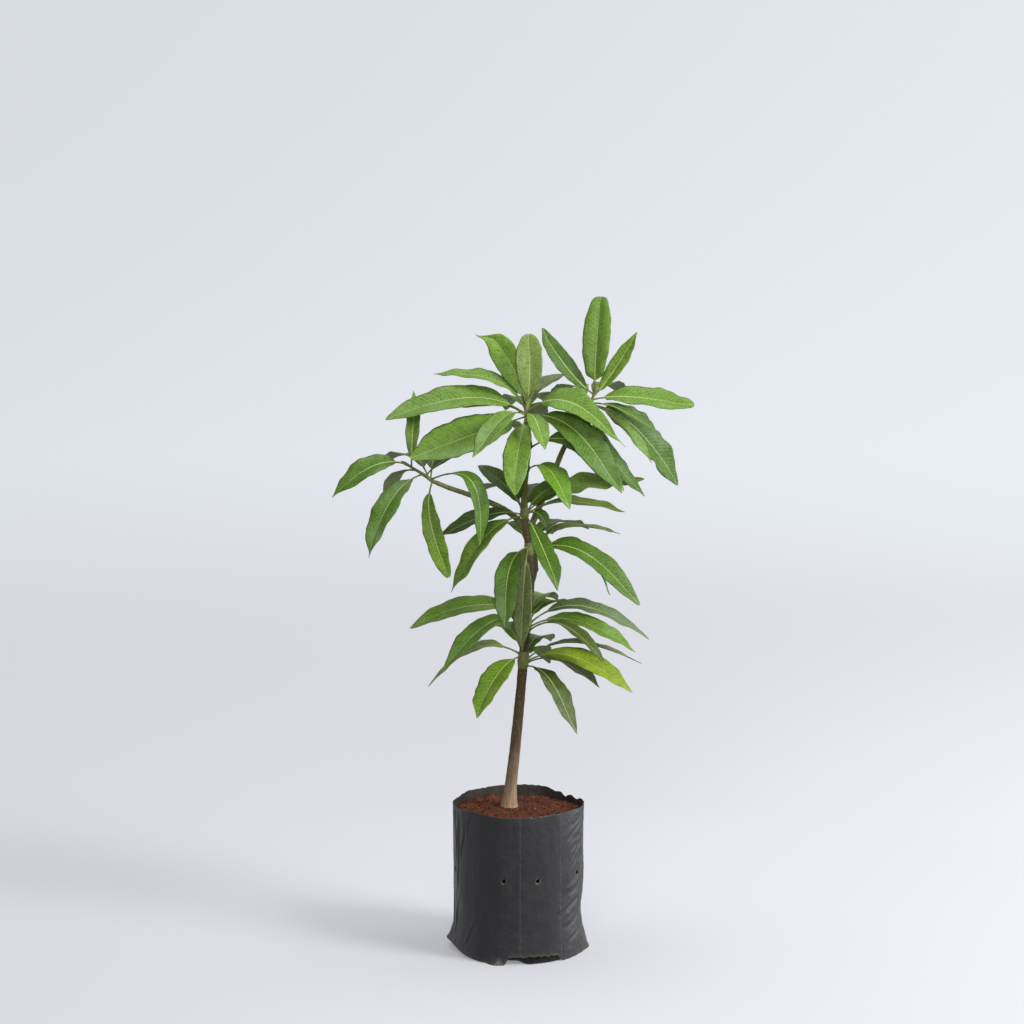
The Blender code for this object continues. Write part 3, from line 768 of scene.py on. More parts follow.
def placed_leaves(whorl, number, foot_of, taken):
    """Each leaf of a whorl with its foot, without those whose blades would touch what is taken."""
    placed, blades = [], []
    for k, leaf in enumerate(whorl.leaves):
        foot = foot_of(leaf, k / max(1, len(whorl.leaves) - 1))
        blade = coarse_blade(leaf, foot)
        if not any(blade.overlap(other) for other in taken):
            placed.append((leaf, foot))
            blades.append(blade)
    draw = random.Random(BACK_SEED + number)
    wanted = len(placed) + whorl.extra
    for _ in range(BACK_TRIES):
        leaf = back_leaf(draw)
        foot = foot_of(leaf, draw.random())
        blade = coarse_blade(leaf, foot)
        if len(placed) < wanted and not any(blade.overlap(other) for other in taken + blades):
            tone = BACK_TONES[(number + len(placed)) % len(BACK_TONES)]
            placed.append((leaf._replace(tone=tone), foot))
            blades.append(blade)
    taken.extend(blades)
    return placed


def smoothed(low, high, value):
    t = np.clip((value - low) / (high - low), 0, 1)
    return t * t * (3 - 2 * t)


# A leaf's form: how full its outline is, how far its widest part lies towards the tip, how far it narrows
# there, how deep the tip is nicked, how much its margins wave and how deep it is folded along the midrib
Form = namedtuple("Form", "power skew drip nick wave fold")
FORMS = {
    "drip": Form(0.66, 0.94, 0.40, 0.0, 1.0, 1.0),
    "strap": Form(0.50, 0.98, 0.30, 0.0, 0.8, 1.0),
    "tailed": Form(0.72, 0.82, 0.62, 0.0, 1.0, 1.0),
    "trailing": Form(1.15, 0.56, 0.50, 0.0, 1.1, 0.9),
    "hooked": Form(0.60, 0.95, 0.74, 0.0, 0.8, 1.1),
    "blunt": Form(0.42, 1.20, 0.0, 0.012, 0.7, 0.9),
    "paddle": Form(0.30, 1.04, 0.0, 0.010, 0.7, 1.6),
    "split": Form(0.46, 1.12, 0.0, 0.045, 1.2, 1.0),
    "nicked": Form(0.56, 1.0, 0.10, 0.022, 0.9, 1.0),
    "wavy": Form(0.54, 1.0, 0.25, 0.0, 1.9, 1.2),
}
LAMINA_COLUMNS = 8
ROWS_A_VEIN = 4
VEIN_SLANT = 0.72
# How far the midrib stands out of the upper face, how much more at its foot, and out of the underside
RIB_RISE = 0.00016
RIB_FOOT_RISE = 0.0004
RIB_DEPTH = 0.00085
# A stalk's radius between its swollen ends
FINE_STALK_RADIUS = 0.00098


def outline(u, form):
    """The share of a blade's half width at u, from its foot at 0 to its tip at 1."""
    full = np.clip(np.sin(math.pi * np.clip(u, 0, 1) ** form.skew), 0, 1) ** form.power
    return full * (1 - form.drip * smoothed(0.78, 0.99, u))


def blade_rows(length, draw):
    """Where rows cross the midrib, from 0 to 1, and each row's place between its two veins."""
    count = max(8, round(length / sizes().vein_pitch))
    vein = sizes().vein_width / length
    feet = [(k + draw.uniform(-0.16, 0.16)) / (count + 0.6) for k in range(1, count + 1)]
    stops = [0.0, *feet, 1.0]
    rows, phases = [0.0], [0.0]
    for a, b in zip(stops, stops[1:]):
        start = a + vein if a > 0 else a
        for k in range(1, ROWS_A_VEIN):
            rows.append(start + (b - start) * k / (ROWS_A_VEIN - 1))
            phases.append(0.0 if k == ROWS_A_VEIN - 1 else k / (ROWS_A_VEIN - 1))
        if b < 1:
            rows.append(b + vein)
            phases.append(0.0)
    return np.array(rows), np.array(phases)


def blade_mesh(leaf, foot, draw):
    """One fine blade's points, grids of its upper and lower ones' numbers, its rows and their phases."""
    size = sizes()
    form = FORMS[leaf.tip]
    whole = leaf_length(leaf, foot)
    length = whole * (1 - STALK_SHARE)
    rows, phases = blade_rows(length, draw)
    half_width = leaf.width * MM / 2
    across = np.linspace(0, 1, LAMINA_COLUMNS + 1) ** 0.92
    columns = np.concatenate([-across[::-1], across])
    s = rows[:, None]
    t = np.abs(columns)[None, :]
    left = (columns < 0)[None, :]
    slant = np.where(left, draw.uniform(0.85, 1.1), draw.uniform(0.85, 1.1))
    slant = slant * VEIN_SLANT * half_width / length
    u = s + slant * t**1.15 * (1 - np.exp(-s / 0.05)) * (1 - s**5)
    rib = size.rib_width * (1 - 0.72 * smoothed(0.0, 0.9, u)) / 2
    uneven = 1.0
    for swells, share in ((1.3, 0.030), (2.9, 0.030), (5.2, 0.024), (9.0, 0.012)):
        phase = np.where(left, draw.uniform(0, TAU), draw.uniform(0, TAU))
        uneven = uneven + form.wave * share * np.sin(TAU * u * swells * draw.uniform(0.8, 1.2) + phase)
    half = np.maximum(half_width * outline(u, form) * uneven, rib + 0.0001)
    signs = np.concatenate([-np.ones(LAMINA_COLUMNS + 1), np.ones(LAMINA_COLUMNS + 1)])[None, :]
    distance = rib + (half - rib) * t
    off_centre = draw.uniform(-0.25, 0.35)
    u_shown = u - form.nick * smoothed(0.86, 1.0, u) * np.exp(-(((signs * t - off_centre) / 0.20) ** 2))
    reach = smoothed(0.0, 0.12, u) * (1 - 0.6 * smoothed(0.9, 1.0, u))
    fold = form.fold * draw.uniform(0.26, 0.44)
    lift = half * (fold * t - (fold - FOLD) * t**2) * reach
    for harmonic, share in ((1.0, 1.0), (2.3, 0.34)):
        wave = size.wave_length * draw.uniform(0.8, 1.25) / harmonic / max(1.0, form.wave - 0.8)
        phase = np.where(left, draw.uniform(0, TAU), draw.uniform(0, TAU))
        height = form.wave * size.wave_height * share * draw.uniform(0.6, 1.2)
        lift = lift + height * t**2.2 * np.sin(TAU * u * length / wave + phase) * reach
    between = np.sin(math.pi * phases)[:, None]
    swollen = size.quilting * (between - 0.35 * (phases == 0)[:, None])
    lift = lift + swollen * np.sin(math.pi * np.clip(t, 0, 1) ** 0.7) * reach
    bend = -0.015 if leaf.tip == "hooked" else draw.uniform(-0.0035, 0.0035)
    sway = bend * smoothed(0.72, 1.0, u) ** 2
    share = STALK_SHARE + (1 - STALK_SHARE) * u_shown
    place, side, normal = along_midrib(leaf, foot, share)
    middle = place + side * (signs * distance + sway)[..., None]
    thick = size.blade_thickness * (1 - 0.5 * t)
    swell = np.where(t == 0, 1.0, 0.0)
    top = lift + thick / 2 + swell * (RIB_RISE + RIB_FOOT_RISE * (1 - smoothed(0, 0.12, u)))
    under = lift - thick / 2 - swell * (RIB_DEPTH * (1 - 0.75 * u))
    upper = middle + normal * top[..., None]
    lower = middle + normal * under[..., None]
    edges = np.zeros(columns.shape, bool)
    edges[0] = edges[-1] = True
    upper[:, edges] = (upper[:, edges] + lower[:, edges]) / 2
    vertices = np.concatenate([upper.reshape(-1, 3), lower.reshape(-1, 3)])
    count_rows, count_columns = upper.shape[:2]
    index = np.arange(count_rows * count_columns).reshape(count_rows, count_columns)
    low_index = index + index.size
    low_index[:, edges] = index[:, edges]
    return vertices, index, low_index, rows, phases


def blade_faces(index, low_index, rows, phases, leaf, strip):
    """Quads of both sides with their materials and their places in the leaf's own strips of the map."""
    names, quads, corners = [], [], []
    middle = LAMINA_COLUMNS
    last = index.shape[1] - 1
    dry_from = dry_share(leaf)
    for r in range(index.shape[0] - 1):
        vein = phases[r] == 0 and phases[r + 1] == 0 and 0 < rows[r] and rows[r + 1] < 1
        for c in range(last):
            rib = c == middle
            for upper in (True, False):
                grid = index if upper else low_index
                quad = [grid[r, c], grid[r, c + 1], grid[r + 1, c + 1], grid[r + 1, c]]
                uv = [(r, c), (r, c + 1), (r + 1, c + 1), (r + 1, c)]
                if not upper:
                    quad.reverse()
                    uv.reverse()
                quads.append(quad)
                corners.append([map_place(rows, last, row, column, strip, upper) for row, column in uv])
                if rows[r] > dry_from:
                    names.append("dry")
                elif rib:
                    names.append("rib")
                elif vein:
                    names.append(leaf.tone + "_vein" if upper else "under_vein")
                else:
                    names.append(leaf.tone if upper else "under")
    for r in (0, index.shape[0] - 1):
        for c in range(last):
            quad = [index[r, c], low_index[r, c], low_index[r, c + 1], index[r, c + 1]]
            flat = [map_place(rows, last, r, k, strip, True) for k in (c, c, c + 1, c + 1)]
            if r:
                quad.reverse()
                flat.reverse()
            if len(set(quad)) > 2:
                kept = [k for k in range(4) if quad[k] not in quad[:k]]
                quads.append([quad[k] for k in kept])
                corners.append([flat[k] for k in kept])
                names.append("rib")
    return quads, names, corners


def dry_share(leaf):
    """From what share of its length a leaf's tip is dry: few tips are."""
    return {"tailed": 0.985, "split": 0.992, "blunt": 0.992, "hooked": 0.975}.get(leaf.tip, 2.0)


def map_place(rows, last, row, column, strip, upper):
    """Where a corner lies on the map: every blade has a strip for its face and one for its underside."""
    number, total = strip
    lane = 2 * number + (0 if upper else 1)
    return 0.01 + 0.98 * float(rows[row]), (lane + 0.08 + 0.84 * column / last) / (2 * total)


def make_blades(whorl, leaves, finishes, seed):
    """All the blades of one whorl as one mesh."""
    vertices, quads, names, corners = [], [], [], []
    base = 0
    for number, (leaf, foot) in enumerate(leaves):
        draw = random.Random(f"{seed} {whorl.name} {number}")
        points, index, low_index, rows, phases = blade_mesh(leaf, foot, draw)
        found, worn, flat = blade_faces(index, low_index, rows, phases, leaf, (number, len(leaves)))
        vertices.append(points)
        quads.extend([[corner + base for corner in quad] for quad in found])
        names.extend(worn)
        corners.extend(flat)
        base += len(points)
    used = sorted(set(names))
    mesh = bpy.data.meshes.new(whorl.name + "_blades")
    mesh.from_pydata(np.concatenate(vertices).tolist(), [], quads)
    for name in used:
        mesh.materials.append(finishes[name])
    mesh.polygons.foreach_set("material_index", [used.index(name) for name in names])
    layer = mesh.uv_layers.new(name="OFBake")
    layer.uv.foreach_set("vector", [value for face in corners for corner in face for value in corner])
    mesh.shade_smooth()
    tidy = bmesh.new()
    tidy.from_mesh(mesh)
    loose = [v for v in tidy.verts if not v.link_faces]
    bmesh.ops.delete(tidy, geom=loose, context="VERTS")
    tidy.to_mesh(mesh)
    tidy.free()
    return linked(whorl.name + "_blades", mesh)


def stalk_lines(leaves):
    """The line of every stalk, swollen where it leaves its stem and run a little under its blade."""
    lines = []
    for leaf, foot in leaves:
        shares = np.linspace(0, STALK_SHARE * 1.25, 16)
        place, _, normal = along_midrib(leaf, foot, shares)
        line = []
        for k, share in enumerate(shares / STALK_SHARE):
            swell = 0.75 * math.exp(-share * 7) + 0.18 * math.exp(-(((share - 0.95) / 0.14) ** 2))
            shrink = 1 - 0.65 * max(0.0, share - 1) / 0.25
            sunk = max(0.0, share - 0.9) * 0.0016
            line.append((Vector(place[k] - normal[k] * sunk), FINE_STALK_RADIUS * (1 + swell) * shrink))
        lines.append(line)
    return lines


# A bud, as distances past its shoot's tip and its radius at each
BUD_FORM = (
    (-0.004, 0.0016), (0.0, 0.0019), (0.0025, 0.0023), (0.005, 0.0019), (0.0075, 0.0011), (0.010, 0.0003),
)


def bud_line(route):
    """A pointed bud that ends a shoot."""
    ahead = (route[-1] - route[-2]).normalized()
    return [(route[-1] + ahead * run, radius) for run, radius in BUD_FORM]


def ride(piece, slot, *nodes):
    """Sets a finished piece on the one body of the model, in the place of its nodes."""
    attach(piece, "root")
    if nodes:
        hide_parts(*nodes)


def bag_radius(angle, height, inset=0.0):
    """The film's outer face: round, with a crease down each side, a spread foot and two ears."""
    low = max(0.0, 1 - height / FOOT_HEIGHT)
    crease = abs(math.cos(angle)) ** CREASE_POWER
    ear = EAR * max(0.0, 1 - height / EAR_HEIGHT) * crease
    rim = RIM_CREASE * (height / BAG_HEIGHT) ** 3 * crease
    foot = FOOT_SPREAD * low**1.5 - FOOT_ROUND * max(0.0, 1 - height / FOOT_ROUND) ** 2 * (1 - crease)
    return BAG_RADIUS + foot + ear + rim - inset


def turned(angle, heading):
    """How far an angle lies past a heading in degrees, in radians from minus to plus half a turn."""
    return (angle - math.radians(heading) + math.pi) % TAU - math.pi


def bump(angle, heading, half_width):
    """A smooth hump of height 1 round a heading, with its half width in degrees."""
    away = turned(angle, heading) / math.radians(half_width)
    return math.exp(-away * away)


def ramp(low, high, value):
    t = min(1.0, max(0.0, (value - low) / (high - low)))
    return t * t * (3 - 2 * t)


def round_noise(angle, height, turns, rises, layer=0.0):
    """Noise on the bag's wall with so many features in a radian and in a metre of height."""
    place = Vector((math.cos(angle) * turns, math.sin(angle) * turns, height * rises + layer))
    return noise.noise(place)


# A fold in the film: its heading in degrees and height at each end, its half width and its share of depth
Fold = namedtuple("Fold", "heading_a height_a heading_b height_b half_width depth")
FOLDS = (
    Fold(-6, 0.181, -40, 0.150, 0.0026, 1.6),
    Fold(-2, 0.168, -34, 0.128, 0.0024, 1.3),
    Fold(-10, 0.140, -40, 0.112, 0.0020, 1.0),
    Fold(-2, 0.102, -44, 0.082, 0.0032, 2.1),
    Fold(-4, 0.078, -52, 0.058, 0.0030, 2.0),
    Fold(-2, 0.060, -46, 0.040, 0.0026, 1.7),
    Fold(-6, 0.044, -40, 0.018, 0.0024, 1.5),
    Fold(-14, 0.170, -20, 0.110, 0.0020, 0.9),
    Fold(-152, 0.184, -160, 0.070, 0.0022, 1.2),
    Fold(-164, 0.180, -158, 0.090, 0.0020, 1.1),
    Fold(-144, 0.176, -151, 0.110, 0.0018, 0.8),
    Fold(-136, 0.184, -141, 0.150, 0.0016, 0.7),
    Fold(-154, 0.070, -166, 0.020, 0.0026, 1.2),
    Fold(-128, 0.046, -146, 0.014, 0.0022, 0.8),
    Fold(34, 0.178, 10, 0.104, 0.0024, 1.2),
    Fold(54, 0.180, 60, 0.060, 0.0020, 0.9),
    Fold(90, 0.182, 94, 0.090, 0.0016, 0.7),
    Fold(120, 0.176, 106, 0.096, 0.0020, 0.9),
    Fold(148, 0.180, 164, 0.088, 0.0024, 1.2),
    Fold(66, 0.050, 96, 0.016, 0.0024, 1.0),
    Fold(130, 0.054, 158, 0.018, 0.0024, 1.1),
    Fold(26, 0.060, 50, 0.018, 0.0024, 1.0),
)


def fold_depth(fold, angle, height):
    """How deep one fold is at a place on the film, fading out towards both of its ends."""
    run = math.radians(fold.heading_b - fold.heading_a) * BAG_RADIUS
    rise = fold.height_b - fold.height_a
    across, up = turned(angle, fold.heading_a) * BAG_RADIUS, height - fold.height_a
    length = math.hypot(run, rise)
    along = (across * run + up * rise) / length**2
    if not 0.0 < along < 1.0:
        return 0.0
    drift = 0.0020 * math.sin(along * 5.0 + fold.heading_a)
    away = (across * rise - up * run) / length + drift
    valley = math.exp(-((away / fold.half_width) ** 2))
    ridge = math.exp(-(((away - 1.9 * fold.half_width) / fold.half_width) ** 2))
    return fold.depth * math.sin(math.pi * along) ** 0.6 * (valley - 0.8 * ridge)


def creasing(angle, height):
    """Sharp small creases, steep on the left side of the bag and slanting on its right side."""
    left = 1.3 * bump(angle, 184, 34) + 0.5 * bump(angle, 100, 40)
    right = 2.0 * bump(angle, -14, 26) + 0.6 * bump(angle, 50, 30)
    steep = 1 - 2.4 * abs(noise.noise(Vector((angle * 15, height * 14, 3.0))))
    slanting = 1 - 2.4 * abs(noise.noise(Vector((angle * 3.4, height * 78 - angle * 1.9, 8.0))))
    return left * max(-0.6, steep) + right * max(-0.6, slanting)


def film_offset(angle, height):
    """How far the film stands off its round form: slack, folds, creases and a raised lip round each hole."""
    slack = 0.9 * round_noise(angle, height, 3.1, 9)
    bulging = math.exp(-(((height - 0.098) / 0.030) ** 2))
    bulging -= 1.4 * math.exp(-(((height - 0.052) / 0.016) ** 2))
    slack += 1.5 * bulging * bump(angle, -6, 26)
    crinkle = 0.34 * (abs(round_noise(angle, height, 7.5, 22)) - 0.25)
    crinkle += 0.10 * round_noise(angle, height, 24, 150)
    folded = sum(fold_depth(fold, angle, height) for fold in FOLDS)
    lip = 0.35 * math.exp(-(((hole_distance(angle, height) - 1.25 * HOLE_RADIUS) / 0.0011) ** 2))
    return sizes().wrinkle_depth * (slack + crinkle + 0.55 * creasing(angle, height) - 0.9 * folded + lip)


def hole_distance(angle, height):
    """How far a place on the film is from the middle of the nearest hole: each is punched right through."""
    return min(
        math.hypot(turned(angle, heading + side) * BAG_RADIUS, height - HOLE_HEIGHT)
        for heading in HOLE_HEADINGS
        for side in (0, 180)
    )


def rim_height(angle):
    """The cut rim, which runs up and down a little and is torn at the back on the right."""
    torn = 0.0052 * bump(angle, 38, 6) + 0.0034 * bump(angle, 20, 4) + 0.0020 * bump(angle, 52, 3)
    waving = 0.0021 * round_noise(angle, 0, 2.2, 0, 5.0) + 0.0010 * round_noise(angle, 0, 14, 0, 9.0)
    return BAG_HEIGHT + 0.0008 + 0.0034 * bump(angle, 92, 58) + waving - torn


def foot_lift(angle):
    """How far the bag's foot is off the floor: its left corner is lifted most."""
    return 0.0118 * bump(angle, 180, 33) + 0.0035 * bump(angle, 66, 20)


def hem_height(angle):
    """The outer film's lower edge, which is rucked up over the folded base on one stretch of the front."""
    heading = math.degrees(turned(angle, 0))
    rucked = ramp(-102, -98, heading) * (1 - ramp(-56, -47, heading))
    ragged = 1 + 0.22 * round_noise(angle, 0, 22, 0, 2.0) + 0.12 * round_noise(angle, 0, 60, 0, 4.0)
    loose = 0.0008 * max(0.0, round_noise(angle, 0, 9, 0, 7.0))
    return foot_lift(angle) + loose + 0.0098 * rucked * ragged


def dust_at(angle, height):
    """How dusty the film is: round the holes, along the hem and at the two ears."""
    away = hole_distance(angle, height)
    dust = 0.95 * math.exp(-((max(0.0, away - HOLE_RADIUS) / 0.0012) ** 2))
    mottled = 0.5 + 0.5 * noise.noise(Vector((angle * 9, height * 90, 1.0)))
    above = height - hem_height(angle)
    ear = abs(math.cos(angle)) ** 60
    dust = max(dust, (0.45 + 0.5 * mottled) * math.exp(-max(0.0, above) / 0.0026))
    return max(dust, 0.8 * ear * math.exp(-max(0.0, above) / 0.009), 0.10 * mottled)


# The film's quads around, up its wall, across the folded base and up the base's own wall, then that
# wall's height and how far inside the film it stands
AROUND = 360
UP = 112
UNDER = 10
BASE_WALL = 6
BASE_HEIGHT = 0.024
BASE_INSET = 0.0019


def film_radius(angle, z):
    """How far out the film's outer face is, with its folds, its drawn hem, its corners and its bent rim."""
    hem = hem_height(angle)
    share = max(0.0, (z - hem) / (rim_height(angle) - hem))
    low = max(0.0, 1 - z / FOOT_HEIGHT)
    radius = bag_radius(angle, max(FOOT_ROUND, z - foot_lift(angle) * low))
    radius += film_offset(angle, z) * ramp(0.0, 0.012, z - hem)
    radius += 0.0044 * bump(angle, -110, 6.5) * max(0.0, 1 - z / 0.012) ** 2
    corner = bump(angle, 0, 7) + bump(angle, 180, 7)
    radius += 0.0028 * corner * max(0.0, 1 - (z - hem) / 0.009) ** 1.5
    radius += 0.0024 * round_noise(angle, 0, 2.6, 0, 3.0) * share**7
    return radius - 0.0052 * bump(angle, 32, 13) * share**9


def outer_film():
    """Rings of (place, dust) from the hem to the rim, set closer together towards both."""
    rings = []
    for step in range(UP + 1):
        share = step / UP
        share -= 0.10 * math.sin(TAU * share)
        ring = []
        for k in range(AROUND):
            angle = TAU * k / AROUND
            hem = hem_height(angle)
            z = hem + (rim_height(angle) - hem) * share
            ring.append((polar(angle, film_radius(angle, z), z), dust_at(angle, z)))
        rings.append(ring)
    return rings


def folded_base():
    """Rings of (place, dust) of the crumpled base, from its middle out and up behind the outer film."""
    rings = []
    for step in range(UNDER + 1):
        share = step / UNDER
        ring = []
        for k in range(AROUND):
            angle = TAU * k / AROUND
            radius = base_radius(angle, 0.0) * share
            x, y = radius * math.cos(angle), radius * math.sin(angle)
            crumple = 0.0014 * abs(noise.noise(Vector((x * 80, y * 80, 0.0)))) * min(1.0, 4 * (1 - share))
            ring.append((Vector((x, y, base_lift(angle) * ramp(0.35, 1.0, share) + crumple)), 0.3))
        rings.append(ring)
    for step in range(1, BASE_WALL + 1):
        ring = []
        for k in range(AROUND):
            angle = TAU * k / AROUND
            rise = BASE_HEIGHT * step / BASE_WALL
            crumple = 0.0016 * round_noise(angle, rise, 16, 130, 6.0) * math.sin(math.pi * step / BASE_WALL)
            radius = base_radius(angle, rise) + crumple
            height = base_lift(angle) * (1 - step / BASE_WALL) + rise
            ring.append((polar(angle, radius, height), 0.25 * max(0.0, round_noise(angle, rise, 26, 200))))
        rings.append(ring)
    return rings


def base_lift(angle):
    """How far the folded base is off the floor, which is most at the ears and beside the loose flap."""
    heading = math.degrees(turned(angle, 0))
    return foot_lift(angle) + 0.0052 * (ramp(-108, -102, heading) - ramp(-92, -80, heading))


def base_radius(angle, rise):
    tucked = 0.0030 * max(0.0, 1 - rise / 0.010)
    return bag_radius(angle, max(FOOT_ROUND, rise), BASE_INSET) - tucked


def make_film(finishes):
    """The bag as fine sheets, wrinkled, punched and then given their thickness."""
    shaped = bmesh.new()
    dust = shaped.verts.layers.float.new("dust")
    for rings, finish in ((outer_film(), 0), (folded_base(), 2)):
        grid = []
        for ring in rings:
            grid.append([shaped.verts.new(place) for place, _ in ring])
            for vertex, (_, laid) in zip(grid[-1], ring):
                vertex[dust] = laid
        for lower, upper in zip(grid, grid[1:]):
            for k in range(AROUND):
                after = (k + 1) % AROUND
                face = shaped.faces.new((lower[k], lower[after], upper[after], upper[k]))
                face.material_index = finish
    for heading in HOLE_HEADINGS:
        punch(shaped, heading)
    bmesh.ops.remove_doubles(shaped, verts=shaped.verts, dist=0.00002)
    bmesh.ops.recalc_face_normals(shaped, faces=shaped.faces)
    mesh = bpy.data.meshes.new("grow_bag_film")
    shaped.to_mesh(mesh)
    shaped.free()
    for finish in finishes:
        mesh.materials.append(finish)
    mesh.shade_smooth()
    bag = linked("grow_bag_film", mesh)
    shell = bag.modifiers.new("Film thickness", "SOLIDIFY")
    shell.thickness = sizes().film_thickness
    shell.offset = -1
    shell.material_offset = 1
    return bag


def punch(shaped, heading):
    """Opens one round hole right through the film and draws its edges into circles."""
    angle = math.radians(heading)
    across = Vector((-math.sin(angle), math.cos(angle), 0))
    middle = Vector((0, 0, HOLE_HEIGHT))

    def away(place):
        return math.hypot((place - middle).dot(across), place.z - HOLE_HEIGHT)

    inside = [face for face in shaped.faces if away(face.calc_center_median()) < HOLE_RADIUS]
    bmesh.ops.delete(shaped, geom=inside, context="FACES")
    for vertex in shaped.verts:
        far = away(vertex.co)
        if vertex.is_boundary and far < HOLE_RADIUS * 2:
            sideways = across * (vertex.co - middle).dot(across)
            lift = Vector((0, 0, vertex.co.z - HOLE_HEIGHT))
            vertex.co += (sideways + lift) * (HOLE_RADIUS / far - 1)


def soil_height(x, y):
    """The soil's lumpy surface, level at the trunk's foot and dipping to the film."""
    foot = Vector(TRUNK_ROUTE[0]) * MM
    away = math.hypot(x - foot.x, y - foot.y)
    dip = SOIL_DIP * min(1.0, away / BAG_RADIUS) ** 2
    lumps = 0.0030 * noise.noise(Vector((x * 45, y * 45, 1.0)))
    lumps += 0.0016 * noise.noise(Vector((x * 130, y * 130, 7.0)))
    crumbs = 0.0009 * noise.noise(Vector((x * 420, y * 420, 3.0)))
    calm = min(1.0, max(0.0, (away - 0.010) / 0.012))
    return SOIL_LEVEL - dip + (lumps + crumbs) * calm


def soil_edge(angle):
    """How far out the soil's top reaches: just inside the film, whose folds it follows."""
    low = SOIL_LEVEL - SOIL_DIP
    near = [(angle + TAU * turn / 360, low + step * MM) for turn in (-1, 0, 1) for step in range(-10, 7, 2)]
    return min(film_radius(a, z) for a, z in near) - sizes().film_thickness - SOIL_CLEAR


def make_soil_bed(top_finish, side_finish):
    """The body of soil in the bag, closed, with a fine lumpy top."""
    rings, around = 64, 360
    edges = [soil_edge(TAU * k / around) for k in range(around)]
    points = []
    for ring in range(rings, 0, -1):
        share = ring / rings
        for k in range(around):
            angle, radius = TAU * k / around, edges[k] * share
            x, y = radius * math.cos(angle), radius * math.sin(angle)
            points.append(Vector((x, y, soil_height(x, y))))
    top = len(points)
    points.append(Vector((0, 0, soil_height(0, 0))))
    faces = [quad for r in range(rings - 1) for quad in band(r * around, (r + 1) * around, around)]
    inmost = (rings - 1) * around
    faces += [(inmost + k, inmost + (k + 1) % around, top) for k in range(around)]
    first = len(points)
    for k in range(around):
        points.append(polar(TAU * k / around, edges[k] - SOIL_TUCK, points[k].z - SOIL_TUCK))
    for z in SOIL_SIDE_HEIGHTS:
        for k in range(around):
            angle = TAU * k / around
            points.append(polar(angle, bag_radius(angle, z, SOIL_SIDE_INSET), z))
    upper = 0
    for number in range(len(SOIL_SIDE_HEIGHTS) + 1):
        lower = first + number * around
        faces += band(upper, lower, around, flipped=True)
        upper = lower
    faces.append(tuple(reversed(range(upper, upper + around))))
    mesh = bpy.data.meshes.new("soil_bed")
    mesh.from_pydata(points, [], faces)
    shaped = bmesh.new()
    shaped.from_mesh(mesh)
    bmesh.ops.recalc_face_normals(shaped, faces=shaped.faces)
    shaped.to_mesh(mesh)
    shaped.free()
    mesh.materials.append(top_finish)
    mesh.materials.append(side_finish)
    # Faces below this depth take the dark soil, painted shade that shows through the holes
    for polygon in mesh.polygons:
        polygon.material_index = 0 if polygon.center.z > SOIL_LEVEL - PAINTED_SHADE_DEPTH else 1
    mesh.shade_smooth()
    return linked("soil_bed", mesh)


def soil_top():
    """A copy of the soil's top for lumps to be strewn on, clear of the film and the trunk."""
    mesh = bpy.data.meshes.new("soil_top")
    rings, around = 30, 96
    foot = Vector(TRUNK_ROUTE[0]) * MM
    points = []
    for ring in range(rings + 1):
        share = 0.14 + 0.825 * ring / rings
        for k in range(around):
            angle = TAU * k / around
            radius = soil_edge(angle) * share
            x = radius * math.cos(angle) + foot.x * (1 - share)
            y = radius * math.sin(angle) + foot.y * (1 - share)
            points.append((x, y, soil_height(x, y)))
    faces = [quad for r in range(rings) for quad in band(r * around, (r + 1) * around, around)]
    mesh.from_pydata(points, [], faces)
    return linked("soil_top", mesh)


class SAPLING_OT_bag(bpy.types.Operator):
    """Make the wrinkled film bag"""

    bl_idname = "sapling.bag"
    bl_label = "Grow Bag"

    def execute(self, context):
        film = tuple(colours().film)
        finishes = [
            film_material("black_film", film, 0.0),
            # The inside is the same film darkened as painted shade, with real dust smeared on it
            film_material("film_inside", shaded(film, 0.55), 0.10),
            # The folded base is the same film darkened further as painted shade deep in its folds
            film_material("folded_film", shaded(film, 0.30), 0.0),
        ]
        ride(make_film(finishes), "black_film", "grow_bag")
        return {"FINISHED"}


class SAPLING_OT_soil(bpy.types.Operator):
    """Fill the bag with red soil, its grains, clods and pale crumbs"""

    bl_idname = "sapling.soil"
    bl_label = "Soil"

    def execute(self, context):
        red = soil_material("red_soil", tuple(colours().soil))
        pale = soil_material("pale_crumbs", from_srgb(168, 138, 112), 0.2)
        dark = soil_material("dark_clods", from_srgb(72, 42, 31), 0.4)
        ride(make_soil_bed(red, soil_material("damp_soil", from_srgb(44, 26, 20))), "red_soil", "soil")
        recipe = grain_recipe()
        grain = context.scene.sapling_sizes.grain_size
        for name, material, size, density, fineness, number in (
            ("soil_grains", red, 1.0, 260000.0, 1, 0),
            ("soil_clods", dark, 1.9, 20000.0, 2, 1),
            ("soil_crumbs", pale, 0.8, 5000.0, 2, 2),
        ):
            piece = grown(name, soil_top(), recipe, {
                "Density": density, "Spacing": grain * size * 0.9, "Radius": grain * size, "Smallest": 0.5,
                "Largest": 1.5, "Fineness": fineness, "Roughness": grain * size * 1.1,
                "Seed": context.scene.sapling_sizes.seed + number, "Finish": material,
            })
            ride(piece, "red_soil")
        return {"FINISHED"}


